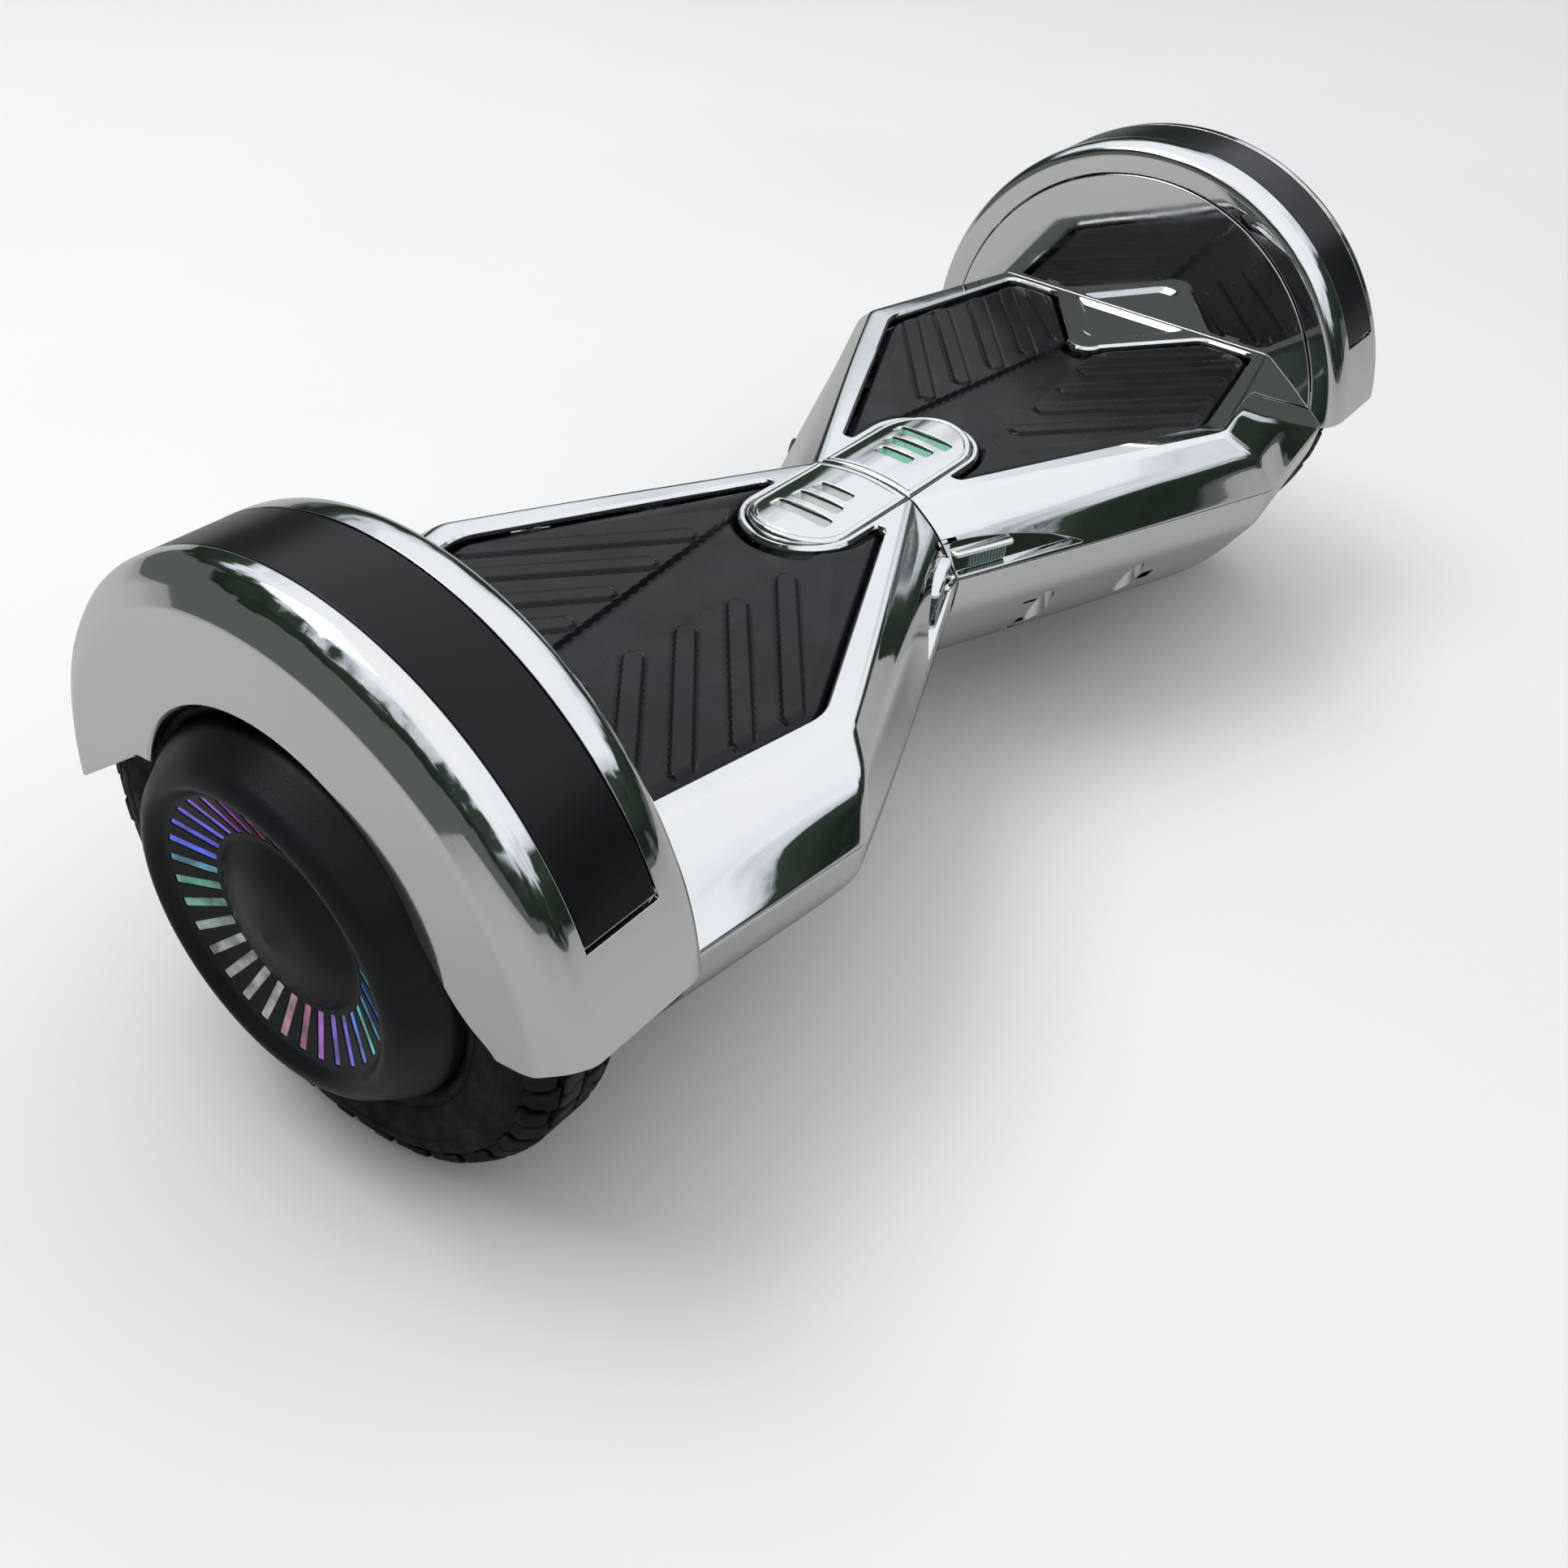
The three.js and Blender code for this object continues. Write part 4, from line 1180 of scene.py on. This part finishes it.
def run_tree(thing, tree, **values):
    """Puts the tree on a piece, sets its inputs by identifier and takes the result as plain mesh."""
    change = thing.modifiers.new(tree.name, "NODES")
    change.node_group = tree
    for item in tree.interface.items_tree:
        label = item.name.replace(" ", "_").lower()
        if item.in_out == "INPUT" and label in values:
            change[item.identifier] = values[label]
    return as_mesh(thing)


ring_of_copies = ring_tree()


def ring(thing, count, finish):
    return run_tree(thing, ring_of_copies, count=count, axle_height=AXLE_Z * MM, material=finish)


print("tree", ring_of_copies.name, "has", len(ring_of_copies.nodes), "nodes")

# %% [markdown]
# ## Tyres
# The carcass is turned from one profile with a bead, a ribbed sidewall and a tread base. The tread is
# one pitch of bevelled blocks repeated round it. Each block is an outline in the flat, with the across
# direction along X and the rolling direction along Y, bent onto the crown by a formula.

# %% Tyre carcass
TYRE_R = 100
WHEEL_MID = 275.8
PITCHES = 30


def crown_radius(x):
    """The tread's outer radius across the tyre."""
    off = np.abs(x - WHEEL_MID)
    return TYRE_R - 3.6 * np.clip((off - 8.5) / 8.5, 0, None) ** 1.6


def carcass():
    corners = [
        (262, 64.9), (256.9, 67), (255.6, 71), (256.3, 72), (255.2, 73), (254.4, 78), (254.2, 83),
        (255.1, 84), (254.6, 85), (255.2, 89.5), (259.5, 94.2), (266.5, 97.4), (285.1, 97.4), (292.1, 94.2),
        (296.6, 89.5), (297.2, 85), (296.7, 84), (297.4, 83), (297.2, 78), (296.2, 73), (295.2, 72),
        (295.8, 71), (294.8, 68.8), (290, 64.9),
    ]
    trims = [1, 1, 0.5, 0.4, 0.5, 2, 0.6, 0.4, 0.6, 3, 3, 3, 3, 3, 3, 0.6, 0.4, 0.6, 2, 0.5, 0.4, 0.5, 1, 1]
    return turned("carcass", rounded(corners, trims, 3), 180)


def block(outline, sunk):
    """One tread block: an outline of (x, along) bent onto the crown, with its foot sunk in the base."""
    rings = []
    for grow, height in ((0.3, -sunk), (0, -0.5), (-0.45, 0.0)):
        flat = grown(rounded(outline, 0.5, 1, fill=1), grow)
        radius = crown_radius(flat[:, 0]) + height
        turn = flat[:, 1] / TYRE_R
        rings.append(np.stack([flat[:, 0], radius * np.sin(turn), radius * np.cos(turn)], 1))
    return skin("block", rings)


print("a tread pitch is", round(2 * math.pi * TYRE_R / PITCHES, 2), "mm")

# %% [markdown]
# The tread has a pair of middle rows whose blocks are split by a zigzag sipe, and a row of slanted
# shoulder blocks on each side. The right hand rows are half a pitch behind the left hand ones.

# %% One pitch of tread
HALF_PITCH = 10.47
TREAD_BLOCKS = (
    (((0.8, -9.4), (9.4, -7.4), (9.4, -0.2), (6.6, -1.4), (4.6, 1.6), (0.8, 0.2)), 3.2),
    (((0.8, 1.0), (4.9, 2.6), (6.9, -0.4), (9.4, 0.7), (9.4, 8.6), (0.8, 9.4)), 3.2),
    (((10.8, -6.2), (18.4, -2.8), (18.4, 5.6), (14.8, 4.2), (10.8, 6.0)), 3.2),
    (((12.4, 7.0), (15.0, 5.9), (19.2, 7.2), (19.2, 15.8), (12.4, 12.8)), 3.0),
)


def tread_pitch():
    blocks = []
    for side in (-1, 1):
        late = 0 if side < 0 else HALF_PITCH
        for points, sunk in TREAD_BLOCKS:
            blocks.append(block([(WHEEL_MID + side * x, s + late) for x, s in points], sunk))
    return join("tread pitch", blocks)


def tyre():
    tread = ring(tread_pitch(), PITCHES, tyre_rubber)
    return join("right_tyre_rubber", [carcass(), tread])


dress_pair(tyre(), tyre_rubber, "wheel", "tyre", even=False)

# %% [markdown]
# ## Hub caps
# A cap is a black dish: a broad sloping rim, a sunken ring of 32 slots and a domed middle. The slots
# are cut by a ring of copies of one rounded bar, and clear bars of the same shape, a little smaller,
# fill them from behind.

# %% Hub cap and its bars
SLOTS = 32
SLOT_HALF = 1.75
BAR_GAP = 0.16
BAR_THICK = 2.5
RING_OUT = (309.4, 49.2)
RING_IN = (302.4, 31.2)
CAP_PROFILE = (
    (294.3, 67.4), (298.6, 67.4), (311.2, 58.8), (313.9, 53.4), RING_OUT, RING_IN, (308.6, 19),
    (311.4, 0.02), (308.8, 0.02), (305.8, 18), (299.6, 31), (306.4, 51.2), (307.6, 56), (297.0, 63.4),
    (294.3, 63.4),
)
CAP_TRIMS = (0.4, 3.0, 3.0, 2.4, 0.9, 1.4, 5.0, 0, 0, 4, 2, 2, 2, 1, 0.4)


def slot_bar(name, trim, x_of):
    """A rounded bar through the sloping ring, with the axle as its origin, half a slot round from Z."""
    inner, outer = 32.6, 47.9
    corners = [(inner, -SLOT_HALF), (outer, -SLOT_HALF), (outer, SLOT_HALF), (inner, SLOT_HALF)]
    outline = rounded(corners, 0.55, 3)
    outline = grown(outline, -trim)
    levels = [(0, lambda r, s, level=level: x_of(r, level)) for level in (0, 1)]
    bar = column(name, outline, levels, axis="x")
    co = np.array([v.co for v in bar.data.vertices])
    swap = np.stack([co[:, 0], co[:, 2], co[:, 1]], 1)
    bar.data.vertices.foreach_set("co", swap.ravel())
    bar.data.transform(Matrix.Rotation(math.pi / SLOTS, 4, "X"))
    return edit(bar, face_out)


def ring_face(r):
    """How far out the sloping ring's face lies at a radius."""
    (x_out, r_out), (x_in, r_in) = RING_OUT, RING_IN
    return x_in + (r - r_in) * (x_out - x_in) / (r_out - r_in)


def hub_cap():
    cap = turned("right_cap_shell", rounded(CAP_PROFILE, CAP_TRIMS, 6, fill=1), 256)
    cutter = slot_bar("slot", 0, lambda r, level: 290 + 30 * level)
    return edit(carve(cap, [ring(cutter, SLOTS, cap_plastic)]), weld)


def cap_bars():
    bar = slot_bar("bar", BAR_GAP, lambda r, level: ring_face(r) - 2.9 + BAR_THICK * level)
    bars = ring(bar, SLOTS, bars_lit)
    plate = turned("plate", [(298.9, 32.5), (304.6, 48), (303.2, 49.4), (296.8, 33.4)], 128)
    return join("right_cap_bars", [bars, plate])


dress_pair(hub_cap(), cap_plastic, "wheel", "hub_cap")
dress_pair(cap_bars(), bars_lit, "wheel", "hub_light_ring")

# %% [markdown]
# ## Fittings on the rear wall
# The power button is a cap with a low domed face. The charging socket is a metal barrel with a lip and
# three pins in it. Its rubber flap covers it, with four grip ribs and a short tether.

# %% Button, socket and flap
def power_button():
    profile = [(0.01, -8.4), (6.8, -8.4), (6.8, -6.2), (5.6, -6.0), (5.6, 0.6), (5.2, 1.2), (4.6, 1.4),
               (3.6, 1.1), (2.0, 0.8), (0.01, 0.7)]
    return wall_turned("power_button_cap", profile, BUTTON_ALONG)


def charge_socket():
    lip = [(4.8, -9.9), (4.8, 0.1), (5.0, 0.4), (6.0, 0.4), (6.2, 0.1), (6.2, -6), (7.0, -6.2), (7.0, -8.6),
           (6.2, -8.8), (6.2, -16), (0.01, -16), (0.01, -9.9)]
    parts = [wall_turned("barrel", lip, SOCKET_ALONG)]
    for k in range(3):
        turn = math.pi / 2 + 2 * math.pi * k / 3
        pin = column("pin", circle(2.5 * math.cos(turn), 2.5 * math.sin(turn), 0.6, 16),
                     [(0, -10.2), (0, -3.2), (-0.3, -2.8)], axis="y")
        pin.data.transform(rear_wall(SOCKET_ALONG))
        parts.append(pin)
    return join("charge_socket_barrel", parts)


def charge_flap():
    disc = [(0.01, 1.0), (6.9, 1.0), (7.4, 1.4), (7.4, 2.4), (6.9, 2.9), (5.4, 3.0), (5.0, 2.6), (0.01, 2.6)]
    parts = [wall_turned("flap", disc, SOCKET_ALONG)]
    for shift in (-2.4, -0.8, 0.8, 2.4):
        low, high = shift - 0.35, shift + 0.35
        outline = rounded([(-3, low), (3, low), (3, high), (-3, high)], 0.2)
        grip = column("grip", outline, [(0, 2.5), (0, 2.85), (-0.15, 3.0)], axis="y")
        grip.data.transform(rear_wall(SOCKET_ALONG))
        parts.append(grip)
    strap = rounded([(6.6, -3), (12.6, -2.4), (12.6, 2.4), (6.6, 3)], [0.2, 1.6, 1.6, 0.2])
    tether = column("tether", strap, [(-0.2, 1.0), (0, 1.2), (0, 2.6), (-0.3, 2.9)], axis="y")
    tether.data.transform(rear_wall(SOCKET_ALONG))
    return join("charge_flap_rubber", [*parts, tether])


dress(power_button(), inner_plastic, "button", ["power_button"])
dress(charge_socket(), turned_steel, "right_half", ["charge_socket"])
dress(charge_flap(), soft_black, "port_cap", ["charge_cap"])

# %% [markdown]
# ## Shell screws
# Pan head screws with a cross recess sit in the wells of the lower shell. One screw is drawn, and a
# Geometry Nodes tree puts a copy on each point of a small mesh, turned by a random angle, because
# real screws never stop with their crosses in line. The seed is fixed, so every run is the same.

# %% Geometry Nodes: screws on points
def screws_tree():
    tree, given, result = new_tree(
        "screws on points", [("Screw", "Object"), ("Seed", "Int"), ("Material", "Material")])
    link, add = tree.links.new, tree.nodes.new
    info = add("GeometryNodeObjectInfo")
    link(given["Screw"], info.inputs["Object"])
    chance = add("FunctionNodeRandomValue")
    chance.data_type = "FLOAT"
    chance.inputs[3].default_value = 2 * math.pi
    link(given["Seed"], chance.inputs["Seed"])
    angles = add("ShaderNodeCombineXYZ")
    link(chance.outputs[1], angles.inputs["Z"])
    spin = add("FunctionNodeEulerToRotation")
    link(angles.outputs[0], spin.inputs[0])
    copies = add("GeometryNodeInstanceOnPoints")
    link(given["Geometry"], copies.inputs["Points"])
    link(info.outputs["Geometry"], copies.inputs["Instance"])
    link(spin.outputs[0], copies.inputs["Rotation"])
    real = add("GeometryNodeRealizeInstances")
    link(copies.outputs[0], real.inputs[0])
    paint = add("GeometryNodeSetMaterial")
    link(real.outputs[0], paint.inputs["Geometry"])
    link(given["Material"], paint.inputs["Material"])
    link(paint.outputs[0], result["Geometry"])
    return tree


def screw():
    """A pan head that faces down, with its seat at the origin."""
    head = column("screw", circle(0, 0, 3.4, 32), [(-1.6, -2.3), (-0.5, -1.9), (0, -1.1), (0, 0)])
    bars = [rounded([(-2, -0.4), (2, -0.4), (2, 0.4), (-2, 0.4)], 0.2, 2),
            rounded([(-0.4, -2), (0.4, -2), (0.4, 2), (-0.4, 2)], 0.2, 2)]
    carve(head, [column("cross", bar, [(0, -3), (-0.15, -1.2)]) for bar in bars])
    shank = column("shank", circle(0, 0, 1.5, 16), [(0, -0.4), (0, 14)])
    return carve(head, [shank], "UNION")


SCREW_SEED = 7
screw_drawn = screw()
screw_copies = screws_tree()
for side in SIDES:
    flip = 1 if side == "right" else -1
    seats = [(flip * x, y, WELL_TOP) for x, y in both_sides(POSTS)]
    seats += [(flip * x, y, WALL_WELL_TOP) for x, y in both_sides(WALL_POSTS)]
    screws = object_from(f"{side}_shell_screws", seats, [])
    run_tree(screws, screw_copies, screw=screw_drawn, seed=SCREW_SEED, material=screw_steel)
    dress(screws, screw_steel, f"{side}_half", [])
bpy.data.objects.remove(screw_drawn)

# %% [markdown]
# ## The pieces inside
# The chassis, axles, motors, battery and boards keep their CAD shape. Only their material slots change,
# each to the finish of its real material.

# %% Finishes for the CAD pieces that stay
INSIDE = {
    cast_metal: ("chassis", "axle_clamp", "hub_shell", "control_heat_sink"),
    turned_steel: ("axle", "inner_bearing", "pivot_shaft", "pivot_retaining_ring"),
    screw_steel: ("clamp_screw_front", "clamp_screw_rear"),
    copper_coils: ("stator",),
    circuit_board: ("sensor_board", "control_board"),
    cable_sleeve: ("motor_cable", "pivot_harness"),
    battery_film: ("battery_pack",),
    inner_plastic: ("battery_strap", "speaker"),
    bush_bronze: ("pivot_sleeve", "pivot_bush_inner", "pivot_bush_outer"),
}
for finish, stems in INSIDE.items():
    for stem in stems:
        for name in (stem, f"left_{stem}", f"right_{stem}"):
            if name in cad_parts:
                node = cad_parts[name]
                for material_slot in node.material_slots:
                    material_slot.material = finish
bare = [n for n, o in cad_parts.items() if not o.hide_render and not o.material_slots]
print("CAD pieces without a finish:", bare)

# %% [markdown]
# ## Floor, light and camera
# A mirror shows only what stands round it. The studio has a pale floor, a bright soft ceiling and a
# ragged dark band at the horizon, taller on one side, as dark flags are hung to draw an edge on chrome.
# Light Path nodes make the floor a darker grey in reflections, as if grey card lay under the board, and
# show the camera a plain backdrop in place of the band.

# %% Floor
MIRRORED_FLOOR = (0.45, 0.45, 0.43)


def floor():
    span = 9000
    plane = object_from("floor", [(-span, -span, 0), (span, -span, 0), (span, span, 0), (-span, span, 0)],
                        [(0, 1, 2, 3)])
    finish, tree, shader = grained("pale floor", (0.86, 0.86, 0.86), (0.83, 0.83, 0.83), (0.75, 0.9),
                                   grain=0.004, depth=0.00005, patch=0.6, specular=0.2)
    pale = shader.inputs["Base Color"].links[0].from_socket
    in_mirror = tree.nodes.new("ShaderNodeLightPath").outputs["Is Glossy Ray"]
    tree.links.new(mix(tree, in_mirror, pale, MIRRORED_FLOOR), shader.inputs["Base Color"])
    plane.data.materials.append(finish)
    plane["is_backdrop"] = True
    return plane


floor()
print("laid the floor")


# %% Studio light
SKY = (
    (0.50, (0.10, 0.11, 0.10)), (0.52, (0.012, 0.018, 0.013)), (0.60, (0.022, 0.032, 0.022)),
    (0.665, (0.035, 0.048, 0.038)), (0.69, (0.55, 0.58, 0.62)), (0.76, (0.90, 0.93, 0.97)),
    (1.0, (1.0, 1.0, 1.0)),
)
TALL_SIDE = (-0.82, 0.57, 0.0)
TALL_LIFT = -0.38
RAGGED = 0.10
SKY_STRENGTH = 1.12
BACKDROP = (0.80, 0.81, 0.82)


def studio():
    world = bpy.data.worlds.new("studio")
    bpy.context.scene.world = world
    world.use_nodes = True
    tree = world.node_tree
    split = tree.nodes.new("ShaderNodeSeparateXYZ")
    around = tree.nodes.new("ShaderNodeTexCoord").outputs["Generated"]
    tree.links.new(around, split.inputs[0])
    beside = tree.nodes.new("ShaderNodeVectorMath")
    beside.operation = "DOT_PRODUCT"
    beside.inputs[1].default_value = TALL_SIDE
    tree.links.new(around, beside.inputs[0])
    lift = spread(tree, beside.outputs["Value"], 0.0, TALL_LIFT, 0.15, 0.6)
    height = calc(tree, "ADD", split.outputs["Z"], lift)
    height = calc(tree, "ADD", height, spread(tree, noise(tree, 5.0, 5.0, around), -RAGGED, RAGGED))
    sky = colour_ramp(tree, spread(tree, height, 0, 1, -1, 1), SKY)
    to_camera = tree.nodes.new("ShaderNodeLightPath").outputs["Is Camera Ray"]
    tree.links.new(mix(tree, to_camera, sky, BACKDROP), tree.nodes["Background"].inputs["Color"])
    tree.nodes["Background"].inputs["Strength"].default_value = SKY_STRENGTH
    bpy.context.scene.view_settings.view_transform = "Standard"


def softbox(name, spot, target, size, power):
    lamp = bpy.data.lights.new(name, "AREA")
    lamp.shape = "RECTANGLE"
    lamp.size, lamp.size_y = size
    lamp.energy = power
    box_light = bpy.data.objects.new(name, lamp)
    bpy.context.scene.collection.objects.link(box_light)
    box_light.location = spot
    box_light.rotation_euler = (Vector(target) - Vector(spot)).to_track_quat("-Z", "Y").to_euler()


studio()
softbox("key softbox", (-0.6, 0.9, 2.2), (0, 0, 0.1), (1.6, 1.2), 22)
print("lit the studio")

# %% [markdown]
# The camera stands in front of the left wheel, above it, and looks along the board with a slight roll.
# Its matrix is built from three angles: where it looks, how far down, and its roll.

# %% Camera
CAMERA_SPOT = (-0.5021, -0.3150, 0.4459)
CAMERA_TURN, CAMERA_DOWN, CAMERA_ROLL = math.radians(55.67), math.radians(38.82), 0.0780
CAMERA_LENS, SENSOR = 36.37, 36.0


def camera():
    flat = math.cos(CAMERA_DOWN)
    ahead = Vector((math.sin(CAMERA_TURN) * flat, math.cos(CAMERA_TURN) * flat, -math.sin(CAMERA_DOWN)))
    right = Vector((math.cos(CAMERA_TURN), -math.sin(CAMERA_TURN), 0))
    up = right.cross(ahead)
    level, lean = math.cos(CAMERA_ROLL), math.sin(CAMERA_ROLL)
    across = right * level + up * lean
    upright = up * level - right * lean
    lens_data = bpy.data.cameras.new("camera")
    lens_data.lens = CAMERA_LENS
    lens_data.sensor_width = SENSOR
    lens_data.clip_start = 0.01
    eye = bpy.data.objects.new("camera", lens_data)
    bpy.context.scene.collection.objects.link(eye)
    axes = Matrix((across, upright, -ahead)).transposed().to_4x4()
    eye.matrix_world = Matrix.Translation(CAMERA_SPOT) @ axes
    bpy.context.scene.camera = eye


camera()
print("set the camera")

# %% [markdown]
# Last, the box of the finished model is printed beside the CAD box, so that the two can be compared.

# %% Print the sizes and finish
visual_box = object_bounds()
sizes = {"cad": [list(c) for c in cad_box], "visual": [list(c) for c in visual_box]}
for label, corners in sizes.items():
    print(label, [round((b - a) / MM, 2) for a, b in zip(*corners)], "mm")
